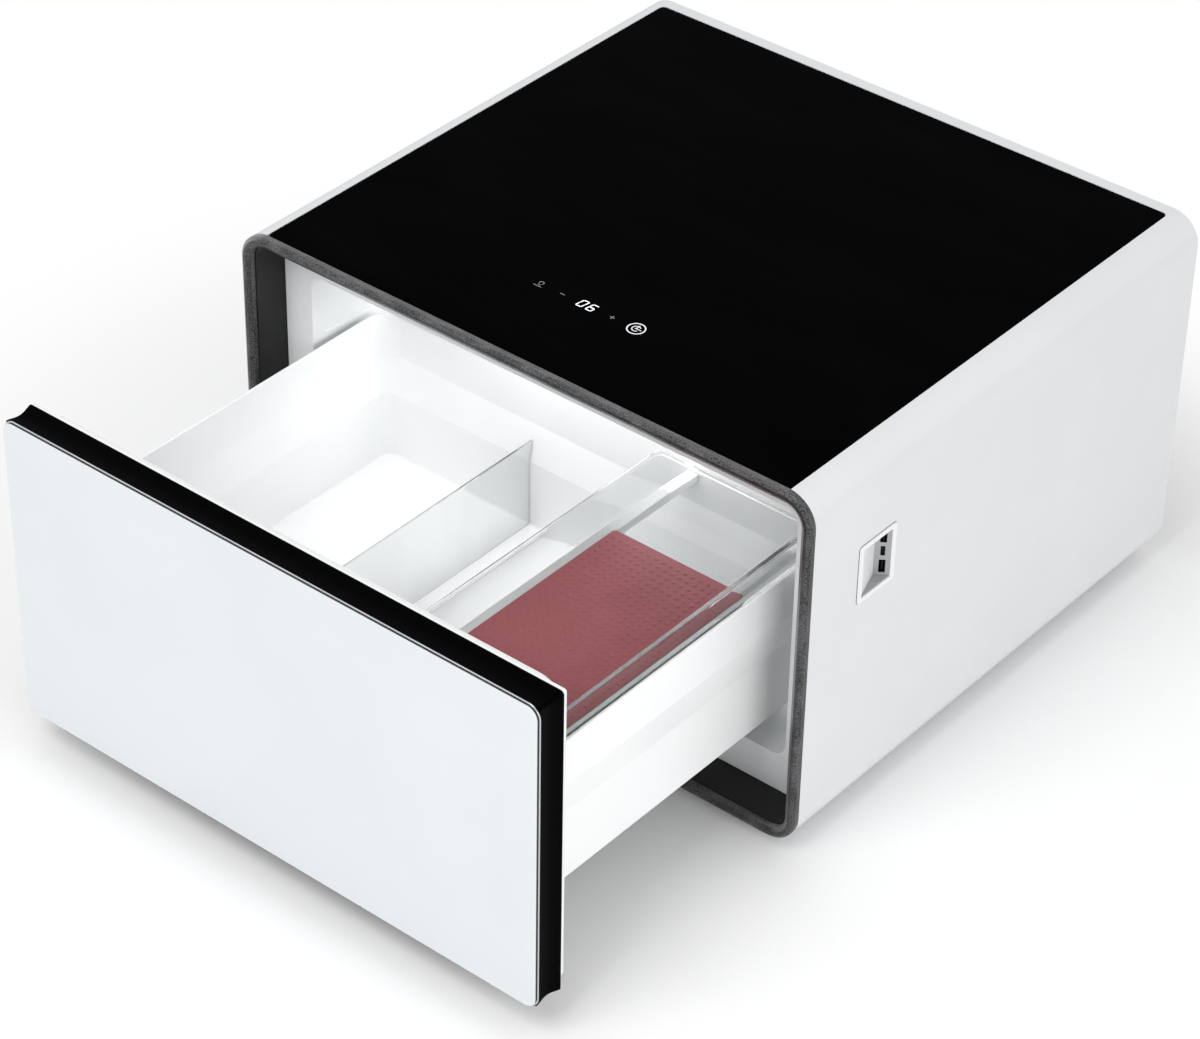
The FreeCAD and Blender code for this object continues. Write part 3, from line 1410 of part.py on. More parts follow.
def build_port(name, width, height, z):
    """One port: a metal shell, closed at its board end, with a tongue inside."""
    wall = s.port_wall
    mouth = s.port_sink
    back = mouth + s.port_depth
    half_z = height / 2
    port = Piece(name)
    shell = socket_bar(s.port_line, width / 2 + wall, mouth, back)
    port.pad(TOP, z - half_z - wall, height + 2 * wall, shell)
    port.pocket(TOP, z - half_z, height, socket_bar(s.port_line, width / 2, mouth - wall, back - wall))
    tongue = socket_bar(s.port_line, s.port_tongue / 2, mouth + wall, back - wall / 2)
    port.pad(TOP, z - half_z + s.port_tongue, height - 2 * s.port_tongue, tongue)
    port.done()


# slides and drawer


def channel(label, x, y, z, height, reach, steel, towards):
    """Build one steel slide member: a web at x and two flanges that reach towards the other side."""
    member = Piece(label, y=y)
    end = x + towards * reach
    web_end = x + towards * steel
    left, right = (x, end) if towards > 0 else (end, x)
    web_left, web_right = (x, web_end) if towards > 0 else (web_end, x)
    member.pad(FRONT, ZERO, s.slide_length, Rectangle(web_left, web_right, z, z + height))
    member.pad(FRONT, ZERO, s.slide_length, Rectangle(left, right, z, z + steel))
    member.pad(FRONT, ZERO, s.slide_length, Rectangle(left, right, z + height - steel, z + height))
    return member.done()


def build_slides():
    """On each side: a bracket, three telescoping members and the hanger below the tub."""
    gap = s.fit_gap
    for name, side in (("left", -1), ("right", 1)):
        outer = s.slide_offset
        shut = At.slide_y
        rest = shut - s.drawer_opening
        low = s.cavity_low
        bracket = Piece(f"rail_bracket_{name}", y=shut)
        top = low + s.slide_low + s.slide_height
        leg = mirrored(side, outer - s.bracket_steel, outer, low, top)
        foot = mirrored(side, outer - s.bracket_foot, outer, low, low + s.bracket_steel)
        bracket.pad(FRONT, ZERO, s.slide_length, leg)
        bracket.pad(FRONT, ZERO, s.slide_length, foot)
        bracket.done()

        cabinet_x = outer - s.bracket_steel
        cabinet_z = low + s.slide_low
        reach = s.slide_reach
        steel = s.slide_steel
        label = f"cabinet_rail_{name}"
        channel(label, side * cabinet_x, shut, cabinet_z, s.slide_height, reach, steel, -side)

        middle_x = cabinet_x - steel - gap
        middle_z = cabinet_z + steel + gap
        middle_height = s.slide_height - 2 * (steel + gap)
        middle_reach = reach - steel - 2 * gap
        steel = s.middle_steel
        middle_y = shut - s.drawer_opening / 2
        label = f"middle_rail_{name}"
        channel(label, side * middle_x, middle_y, middle_z, middle_height, middle_reach, steel, -side)

        inner_x = At.drawer_rail_x
        inner_z = middle_z + steel + gap
        inner_height = middle_height - 2 * (steel + gap)
        inner_reach = middle_x - steel - gap - inner_x
        label = f"drawer_rail_{name}"
        channel(label, side * inner_x, rest, inner_z, inner_height, inner_reach, steel, side)

        steel = s.bracket_steel
        hanger = Piece(f"slide_hanger_{name}", y=rest)
        leg = mirrored(side, inner_x - steel, inner_x, inner_z + gap, s.tub_low)
        flange = mirrored(side, inner_x - s.hanger_flange, inner_x, s.tub_low - steel, s.tub_low)
        hanger.pad(FRONT, ZERO, s.hanger_length, leg)
        hanger.pad(FRONT, ZERO, s.hanger_length, flange)
        hole = s.tub_screw_radius + gap
        holes = [Circle(x, y - rest, hole) for x, y in tub_screw_places() if float(x) * side > 0]
        hanger.pocket(TOP, s.tub_low - steel, steel, *holes)
        hanger.done()


def mirrored(side, near, far, low, high):
    """Return a rectangle from near to far of the middle, on the left (-1) or right (1) side."""
    if side > 0:
        return Rectangle(near, far, low, high)
    return Rectangle(-far, -near, low, high)


def tub_screw_places():
    """Return the places of the screws through the hangers into the tub's floor, as X and Y."""
    x = At.drawer_rail_x - s.hanger_flange / 2 - s.bracket_steel / 2
    first = At.slide_y - s.drawer_opening + s.tub_screw_start
    rows = [first + index * s.tub_screw_pitch for index in range(count(s.tub_screw_rows))]
    return [(side * x, y) for side in (-1, 1) for y in rows]


def front_outline(inset, radius, low_inset=None):
    """Return the drawer front's outline, inset."""
    return Rectangle.centred(
        s.front_width - 2 * inset,
        s.front_low + (inset if low_inset is None else low_inset),
        At.front_high - inset,
        radius,
    )


def build_front():
    """Drawer front: glass, bead, grip frame, foam core, inner panel and gasket."""
    start = At.drawer_y
    glass = Piece("front_glass", y=start)
    glass.pad(FRONT, ZERO, s.front_glass, front_outline(s.front_glass_inset, s.front_radius))
    glass.round_edges(lambda box: box.YMax < EDGE, s.front_bevel, bevel=True)
    glass.done()

    bead = Piece("front_bead", y=start + s.front_glass)
    inset = s.bead_inset
    inner = inset + s.bead_width
    radius = s.front_radius + s.front_glass_inset - inset
    bead.pad(FRONT, ZERO, s.bead_thickness, front_outline(inset, radius))
    bead.pocket(FRONT, ZERO, s.bead_thickness, front_outline(inner, s.bead_inset))
    bead.done()

    frame = Piece("front_frame", y=start + At.frame_y)
    radius = s.frame_radius
    stations = [
        (ZERO, front_outline(s.frame_front_inset, radius)),
        (s.frame_groove_setback, front_outline(s.frame_groove_inset, radius)),
        (s.frame_depth, front_outline(s.frame_rear_inset, radius)),
    ]
    frame.loft(FRONT, stations)
    core = s.frame_groove_inset + s.frame_wall
    face = s.frame_face
    frame.pocket(FRONT, face, s.frame_depth - face, front_outline(core, s.frame_core_radius))
    frame.done()

    foam = Piece("front_foam", y=start + At.frame_y + face)
    inset = core + s.fit_gap
    foam.pad(FRONT, ZERO, s.frame_depth - face, front_outline(inset, s.frame_core_radius - s.fit_gap))
    foam.done()

    panel = Piece("front_inner_panel", y=start + At.panel_y)
    outline = front_outline(s.inner_panel_inset, s.inner_panel_radius, s.inner_panel_raise)
    panel.pad(FRONT, ZERO, s.inner_panel, outline)
    panel.done()

    gasket = Piece("door_gasket", y=start + At.tub_y)
    thick = s.flange_setback - At.tub_y - s.gasket_gap
    gasket.pad(FRONT, ZERO, thick, cavity_outline(s.gasket_overlap + s.gasket_width))
    gasket.pocket(FRONT, ZERO, thick, cavity_outline(s.gasket_overlap))
    gasket.done()


def tub_outline(inset, step):
    """Return the tub's plan: square at the front, rounded at the back."""
    return Rectangle.centred(
        s.tub_width - 2 * (inset + step), inset, s.tub_length - inset, None, s.tub_radius - inset
    )


def build_tub():
    """Stepped white tub of the drawer, with ribs that hold the divider, and its screws."""
    start = At.drawer_y + At.tub_y
    wall = s.tub_wall
    tub = Piece("drawer_tub", y=start)
    stations = [
        (s.tub_low, tub_outline(ZERO, s.tub_step)),
        (s.tub_step_low, tub_outline(ZERO, s.tub_step)),
        (s.tub_step_high, tub_outline(ZERO, ZERO)),
        (s.tub_high, tub_outline(ZERO, ZERO)),
    ]
    tub.loft(TOP, stations)
    hollow = [
        (At.tub_floor, tub_outline(wall, s.tub_step)),
        (s.tub_step_low, tub_outline(wall, s.tub_step)),
        (s.tub_step_high, tub_outline(wall, ZERO)),
        (s.tub_high, tub_outline(wall, ZERO)),
    ]
    tub.loft(TOP, hollow, cut=True)
    top = float(s.tub_high)
    tub.round_edges(lambda box: box.ZMin > top - EDGE, s.tub_edge)
    near = s.divider_thickness / 2 + s.fit_gap
    ribs = []
    for side in (-1, 1):
        edges = sorted((side * near, side * (near + s.rib_thickness)), key=float)
        left, right = (edge - s.divider_x for edge in edges)
        weld = s.weld_depth
        ribs.append(Rectangle(left, right, wall - weld, wall + s.rib_reach))
        far = s.tub_length - wall
        ribs.append(Rectangle(left, right, far - s.rib_reach, far + weld))
    tub.pad(TOP, At.tub_floor - s.weld_depth, s.rib_high - At.tub_floor + s.weld_depth, *ribs)
    hole = s.tub_screw_radius + s.fit_gap
    tub.pocket(TOP, s.tub_low, wall, *[Circle(x, y - start, hole) for x, y in tub_screw_places()])
    tub.done()
    screws = []
    length = s.bracket_steel + wall
    for index, (x, y) in enumerate(tub_screw_places(), start=1):
        name = f"tub_screw_{index}"
        screws.append(screw_up(name, x, y, s.tub_low - s.bracket_steel, s.tub_screw_radius, length))
    export(group("tub_screws", screws))


def bin_outline(inset, z):
    """Return the fruit bin's plan at a height, inset from its outside."""
    shrink = s.bin_draft * (s.bin_high - z) / (s.bin_high - At.bin_low) + inset
    front = s.bin_front
    radius = s.bin_radius - inset
    return Rectangle(
        s.bin_left + shrink, s.bin_right - shrink, front + shrink, front + s.bin_length - shrink, radius
    )


def build_bin():
    """Clear shallow fruit bin with a rim, its mat, the rails below it, and the clear divider."""
    start = At.drawer_y + At.tub_y
    low = At.bin_low
    high = s.bin_high
    floor = At.bin_floor
    fruit_bin = Piece("fruit_bin", y=start)
    fruit_bin.loft(TOP, [(low, bin_outline(ZERO, low)), (high, bin_outline(ZERO, high))])
    rim = high - s.bin_rim_height
    fruit_bin.pad(TOP, rim, s.bin_rim_height, bin_outline(-s.bin_rim, high))
    hollow = [(floor, bin_outline(s.bin_wall, floor)), (high, bin_outline(s.bin_wall, high))]
    fruit_bin.loft(TOP, hollow, cut=True)
    fruit_bin.done()
    left, right, front, _ = bin_outline(s.bin_wall, floor).bounds
    front = front + s.mat_front
    plan = Rectangle(left + s.mat_left, right - s.mat_right, front, front + s.mat_length, s.mat_corner)
    Piece("bin_mat", y=start).pad(TOP, floor, s.mat_thickness, plan).done()

    rails = []
    rail_low = low - s.bin_seat - s.tray_rail_height
    lefts = (s.tray_rail_left, s.tray_rail_right - s.tray_rail_width)
    for name, left in zip(("tray_rail_left", "tray_rail_right"), lefts):
        rail = Piece(name, y=start)
        plan = Rectangle(left, left + s.tray_rail_width, s.tub_wall, s.tub_length - s.tub_wall)
        rail.pad(TOP, rail_low, s.tray_rail_height, plan)
        rails.append(rail.body)
    export(group("tray_rails", rails))

    divider = Piece("clear_divider", y=start)
    half = s.divider_thickness / 2
    inset = s.tub_wall + s.fit_gap
    seat = At.tub_floor + s.bin_seat
    plan = Rectangle(-s.divider_x - half, half - s.divider_x, inset, s.tub_length - inset)
    divider.pad(TOP, seat, s.divider_high - seat, plan)
    divider.done()


# legend


def legend_bar(name, x, y, length, width):
    """Add one straight stroke of the legend, its middle at x, y."""
    return block(name, x - length / 2, y - width / 2, At.legend_low, length, width, s.legend_thickness)


def legend_ring(name, x, y, radius):
    """Add a ring of the legend."""
    outer = rod(f"{name}_outside", x, y, At.legend_low, radius, s.legend_thickness)
    inner = rod(f"{name}_inside", x, y, At.legend_low, radius - s.segment_width, s.legend_thickness)
    return cut_from(name, outer, inner)


def build_digit(name, x, segments):
    """Return the strokes of one seven-segment digit whose middle is at x."""
    high = s.digit_height / 2
    wide = s.digit_width / 2
    stroke = s.segment_width
    across = s.digit_width - 2 * stroke
    down = high - stroke - stroke / 2
    y = s.display_y
    bars = {
        "a": (x, y + high - stroke / 2, across, stroke),
        "g": (x, y, across, stroke),
        "d": (x, y - high + stroke / 2, across, stroke),
        "f": (x - wide + stroke / 2, y + high / 2, stroke, down),
        "b": (x + wide - stroke / 2, y + high / 2, stroke, down),
        "e": (x - wide + stroke / 2, y - high / 2, stroke, down),
        "c": (x + wide - stroke / 2, y - high / 2, stroke, down),
    }
    return [legend_bar(f"{name}_{key}", *bars[key]) for key in segments]


def build_legend():
    """Return the lit legend in the glass: lamp, minus, two digits, plus and a power ring."""
    y = s.display_y
    stroke = s.segment_width
    half = (s.digit_width + s.digit_gap) / 2
    middle = -s.digits_x
    parts = build_digit("digit_tens", middle - half, "abcdef")
    parts += build_digit("digit_ones", middle + half, "acdefg")
    size = s.icon_size
    parts.append(legend_bar("minus_icon", middle - s.icon_pitch, y, size, stroke))
    cross = [
        legend_bar("plus_across", middle + s.icon_pitch, y, size, stroke),
        legend_bar("plus_down", middle + s.icon_pitch, y, stroke, size),
    ]
    parts.append(joined("plus_icon", cross))
    ring_x = middle + s.ring_x
    parts.append(legend_ring("power_ring", ring_x, y, s.ring_radius))
    parts.append(legend_bar("power_bar", ring_x, y, stroke, size))
    lamp_x = middle - s.lamp_icon_x
    parts.append(legend_ring("lamp_bulb", lamp_x, y + stroke, size / 2))
    parts.append(legend_bar("lamp_base", lamp_x, y - size / 2 - stroke, size / 2, stroke))
    return export(group("display_legend", parts))


# checks and files


def check(item):
    """Stop when an object of the document is in error or has no valid shape."""
    if "Invalid" in item.State or "Error" in item.State:
        raise RuntimeError(f"{item.Label} does not build: {item.State}")
    shape = item.Shape
    if shape.isNull() or not shape.isValid() or not shape.Solids:
        raise RuntimeError(f"{item.Label} has no valid solid")


def write_parts(folder):
    """Check every node and write it as a STEP file of its own."""
    DOC.recompute()
    os.makedirs(folder, exist_ok=True)
    for item in NODES:
        check(item)
        item.Shape.exportStep(os.path.join(folder, f"{item.Label}.step"))
    print(f"{len(NODES)} nodes written")


for build in (
    build_shell,
    build_trim,
    build_recess,
    build_top,
    build_liner,
    build_foam,
    build_back,
    build_feet,
    build_compressor,
    build_condenser,
    build_fan,
    build_evaporator,
    build_control,
    build_cavity_fittings,
    build_socket,
    build_slides,
    build_front,
    build_tub,
    build_bin,
):
    build()
write_parts("parts")
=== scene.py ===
"""Refrigerator nightstand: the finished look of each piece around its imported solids.

Frame: metres, +Z up, +Y to the back, +X to the right as seen from the front.  A class stands for
each sub-assembly.  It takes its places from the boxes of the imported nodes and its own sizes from
its fields, builds its pieces and gives every node of its own a finish.
"""
import logging
import math
from collections.abc import Sequence
from dataclasses import dataclass, replace
from enum import Enum

import bmesh
import bpy
from mathutils import Matrix, Vector


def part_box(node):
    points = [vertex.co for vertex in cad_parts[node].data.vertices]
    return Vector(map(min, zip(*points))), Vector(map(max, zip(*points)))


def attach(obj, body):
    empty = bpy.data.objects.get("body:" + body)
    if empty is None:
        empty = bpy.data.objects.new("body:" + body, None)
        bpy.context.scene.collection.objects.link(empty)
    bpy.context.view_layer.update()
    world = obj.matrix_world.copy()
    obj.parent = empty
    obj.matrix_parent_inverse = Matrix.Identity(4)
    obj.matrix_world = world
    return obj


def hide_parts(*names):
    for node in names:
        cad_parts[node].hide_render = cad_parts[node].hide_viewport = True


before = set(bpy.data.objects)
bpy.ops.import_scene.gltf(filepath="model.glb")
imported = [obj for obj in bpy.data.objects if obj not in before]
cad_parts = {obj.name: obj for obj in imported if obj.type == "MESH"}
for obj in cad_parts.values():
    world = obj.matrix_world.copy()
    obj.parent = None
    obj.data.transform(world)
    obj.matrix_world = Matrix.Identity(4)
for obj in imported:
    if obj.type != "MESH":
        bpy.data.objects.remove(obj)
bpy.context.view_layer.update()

MM = 0.001
LOG = logging.getLogger("nightstand")
WHITE = (1.0, 1.0, 1.0, 1.0)
CLOUD = 90 * MM  # size of the cloudy patches in a coat
SHARP = 32.0  # edges sharper than this, in degrees, stay sharp
BEVELLED = math.radians(38)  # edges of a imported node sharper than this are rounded
COPLANAR = math.radians(0.6)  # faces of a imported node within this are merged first
WELD = 0.004 * MM
LEAST_RADIUS = 0.05 * MM
SCREW_HEAD = 2.4 * MM  # height of every screw's head
SCREW_TIP = 0.2 * MM  # how much shorter a screw is than its hole
# a screw's outlines, as rise and reach: the shank's in its radii, the head's in its height and radius
SHANK_END = ((0.0, 0.7), (0.5, 1.0))
HEAD_DOME = ((0.0, 1.0), (0.3, 1.0), (0.65, 0.95), (0.9, 0.78), (1.0, 0.62))
HEAD_CROSS = ((1.0, 0.52), (0.35, 0.3))
CROSS_ARM = math.radians(15)  # half the angle that an arm of the cross recess takes up
LEGEND_STEPS = 40  # segments of a ring in the legend

Point = tuple[float, float]
Place = tuple[float, float, float]
Colour = tuple[int, int, int]
Ring = tuple[float, list[Point]]
Section = tuple[float, float, float]


# node graphs


class Value:
    """One output socket of a node, which can be used in arithmetic."""

    def __init__(self, graph: "Graph", socket: bpy.types.NodeSocket) -> None:
        """Keep the socket and the graph that its node belongs to."""
        self.graph = graph
        self.socket = socket

    def other(self, name: str) -> "Value":
        """Return another output of the same node."""
        return Value(self.graph, self.socket.node.outputs[name])

    def math(self, operation: str, other: object = 0.0) -> "Value":
        """Return the result of a Math node on self and other."""
        return self.graph.node("ShaderNodeMath", {0: self, 1: other}, operation=operation)

    def __add__(self, other: object) -> "Value":
        """Return self + other."""
        return self.math("ADD", other)

    def __sub__(self, other: object) -> "Value":
        """Return self - other."""
        return self.math("SUBTRACT", other)

    def __rsub__(self, other: object) -> "Value":
        """Return other - self."""
        return self * -1 + other

    def __mul__(self, other: object) -> "Value":
        """Return self * other."""
        return self.math("MULTIPLY", other)

    def ramp(self, low: float, high: float) -> "Value":
        """Return 0 below low, 1 above high and a smooth rise between them."""
        values = {0: self, 1: low, 2: high}
        return self.graph.node("ShaderNodeMapRange", values, interpolation_type="SMOOTHSTEP")


class Graph:
    """A tree of nodes under construction, for a material, the world or Geometry Nodes."""

    def __init__(self, tree: bpy.types.NodeTree) -> None:
        """Start from an empty tree."""
        self.tree = tree
        tree.nodes.clear()

    def node(
        self,
        kind: str,
        values: dict[int | str, object] | None = None,
        output: int | str = 0,
        **settings: str,
    ) -> Value:
        """Add a node.

        Args:
            kind: the node's type.
            values: what goes into its sockets, by index or name: Values are linked, others set.
            output: which output to return.
            settings: the node's own properties, set before the sockets.

        Returns:
            The chosen output, or the first input of a node without outputs.
        """
        node = self.tree.nodes.new(kind)
        for name, setting in settings.items():
            setattr(node, name, setting)
        for key, value in (values or {}).items():
            if isinstance(value, Value):
                self.tree.links.new(value.socket, node.inputs[key])
            else:
                node.inputs[key].default_value = value
        return Value(self, node.outputs[output] if node.outputs else node.inputs[0])

    def mix(self, factor: object, first: object, second: object) -> Value:
        """Return the colour that lies between first and second."""
        return self.node("ShaderNodeMix", {0: factor, 6: first, 7: second}, 2, data_type="RGBA")

    def noise(self, where: Value, size: float, detail: float = 3.0, stretch: Place = (1, 1, 1)) -> Value:
        """Return noise, 0 to 1 about 0.5.

        Args:
            where: coordinates, in metres.
            size: size of one blotch, in metres.
            detail: octaves of finer noise.
            stretch: how much faster it changes along each axis.

        Returns:
            The noise.
        """
        scaled = self.node("ShaderNodeMapping", {"Vector": where, "Scale": stretch})
        values = {"Vector": scaled, "Scale": 1 / size, "Detail": detail}
        return self.node("ShaderNodeTexNoise", values)

    def cells(self, where: Value, size: float, output: str = "Distance", feature: str = "F1") -> Value:
        """Return a field of cells of a size in metres: a distance in each cell, or its colour."""
        values = {"Vector": where, "Scale": 1 / size}
        return self.node("ShaderNodeTexVoronoi", values, output, feature=feature)


def linear(colour: Colour) -> tuple[float, ...]:
    """Return a colour written as 0 to 255 in the linear form that shaders take."""
    parts = (part / 255 for part in colour)
    return *(part / 12.92 if part <= 0.04045 else ((part + 0.055) / 1.055) ** 2.4 for part in parts), 1.0


# finishes


class Grain(Enum):
    """How the surface of a finish is broken up."""

    ENAMEL = "smooth coat with a faint orange peel"
    MOULDED = "fine even grain of moulded plastic"
    POLISHED = "polished, with faint wiping marks"
    BRUSHED = "fine scratches along X"
    MOTTLED = "cloudy metal with fine specks"
    # the specks are the metal's own; the brighter bevels that face left and up are a painted highlight
    FACETED = "speckled metal, painted bright on the bevels that face left and up"
    SPANGLE = "crystals of a zinc coat"
    PORES = "open cells of cut foam"
    BOARD = "copper tracks below a green coat"
    WINDING = "turns of wire about a centre"


MATERIALS: dict[str, bpy.types.Material] = {}


@dataclass(frozen=True)
class Finish:
    """A surface: colours as written, gloss, and the grain with its size and relief in millimetres."""

    slot: str
    colour: Colour
    accent: Colour
    roughness: float
    spread: float = 0.06
    metallic: float = 0.0
    coat: float = 0.0
    specular: float = 0.5
    transmission: float = 0.0
    ior: float = 1.5
    glow: float = 0.0
    grain: Grain = Grain.MOULDED
    size: float = 0.8
    relief: float = 0.01
    centre: Place = (0.0, 0.0, 0.0)

    def pattern(self, graph: Graph) -> tuple[Value, Value]:
        """Draw the grain.

        Args:
            graph: the material's graph.

        Returns:
            Where the accent colour shows, and the height of the relief, both 0 to 1.
        """
        where = graph.node("ShaderNodeTexCoord", output="Object")
        size = self.size * MM
        if self.grain is Grain.ENAMEL:
            fine = graph.noise(where, size)
            return graph.noise(where, CLOUD).ramp(0.3, 0.7) * 0.7 + fine * 0.3, fine
        if self.grain is Grain.MOULDED:
            pits = graph.cells(where, size)
            return graph.noise(where, CLOUD).ramp(0.35, 0.65) * 0.5 + pits * 0.5, pits
        if self.grain is Grain.POLISHED:
            wiped = graph.noise(where, 0.16, 2.0, (1.0, 3.0, 1.0))
            return wiped.ramp(0.35, 0.75), graph.noise(where, size)
        if self.grain is Grain.BRUSHED:
            lines = graph.noise(where, size, 3.0, (0.02, 1.0, 1.0))
            return lines.ramp(0.3, 0.7), lines
        if self.grain is Grain.MOTTLED:
            specks = graph.noise(where, size, 4.0).ramp(0.5, 0.7)
            return graph.noise(where, 0.022, 4.0).ramp(0.38, 0.66) * 0.65 + specks * 0.35, specks
        if self.grain is Grain.FACETED:
            # painted highlight: faces that point left and up take the accent colour, as if lit from there;
            # the specks and streaks are the metal's own
            normal = graph.node("ShaderNodeNewGeometry", output="Normal")
            axes = graph.node("ShaderNodeSeparateXYZ", {0: normal})
            facing = axes.other("Z") * 0.3 - axes
            specks = graph.noise(where, size, 4.0).ramp(0.38, 0.62)
            streaks = graph.noise(where, 0.006, 2.0, (0.2, 1.0, 0.2)).ramp(0.4, 0.7)
            return facing.ramp(0.15, 0.62) * 0.52 + specks * 0.24 + streaks * 0.12, specks
        if self.grain is Grain.SPANGLE:
            tint = graph.cells(where, size, "Color")
            crystal = graph.node("ShaderNodeSeparateColor", {0: tint})
            return crystal * 0.7 + graph.noise(where, size) * 0.3, crystal
        if self.grain is Grain.PORES:
            pores = graph.cells(where, size)
            return pores.ramp(0.1, 0.6), pores
        if self.grain is Grain.BOARD:
            tracks = graph.cells(where, size, feature="DISTANCE_TO_EDGE")
            return 1 - tracks.ramp(0.04, 0.09), 1 - tracks.ramp(0.03, 0.1)
        offset = tuple(-part for part in self.centre)
        middle = graph.node("ShaderNodeVectorMath", {0: where, 1: offset})
        flat = graph.node("ShaderNodeVectorMath", {0: middle, 1: (1, 1, 0)}, operation="MULTIPLY")
        reach = graph.node("ShaderNodeVectorMath", {0: flat}, "Value", operation="LENGTH")
        turns = (reach * (math.tau / size)).math("SINE") * 0.5 + 0.5
        return 1 - turns, turns

    def material(self) -> bpy.types.Material:
        """Return the finish as a material, made once."""
        key = f"{self.slot}_{'_'.join(str(part) for part in self.colour)}"
        if key in MATERIALS:
            return MATERIALS[key]
        material = bpy.data.materials.new(key)
        material.use_nodes = True
        graph = Graph(material.node_tree)
        mask, height = self.pattern(graph)
        colour = graph.mix(mask, linear(self.colour), linear(self.accent))
        bump = {"Strength": 1.0, "Distance": self.relief * MM, "Height": height}
        values = {
            "Base Color": colour,
            "Roughness": mask * self.spread + (self.roughness - self.spread / 2),
            "Metallic": self.metallic,
            "IOR": self.ior,
            "Specular IOR Level": self.specular,
            "Coat Weight": self.coat,
            "Coat Roughness": 0.04,
            "Transmission Weight": self.transmission,
            "Normal": graph.node("ShaderNodeBump", bump),
        }
        if self.glow:
            values["Emission Color"] = colour
            values["Emission Strength"] = self.glow
        shader = graph.node("ShaderNodeBsdfPrincipled", values)
        graph.node("ShaderNodeOutputMaterial", {"Surface": shader})
        MATERIALS[key] = material
        return material


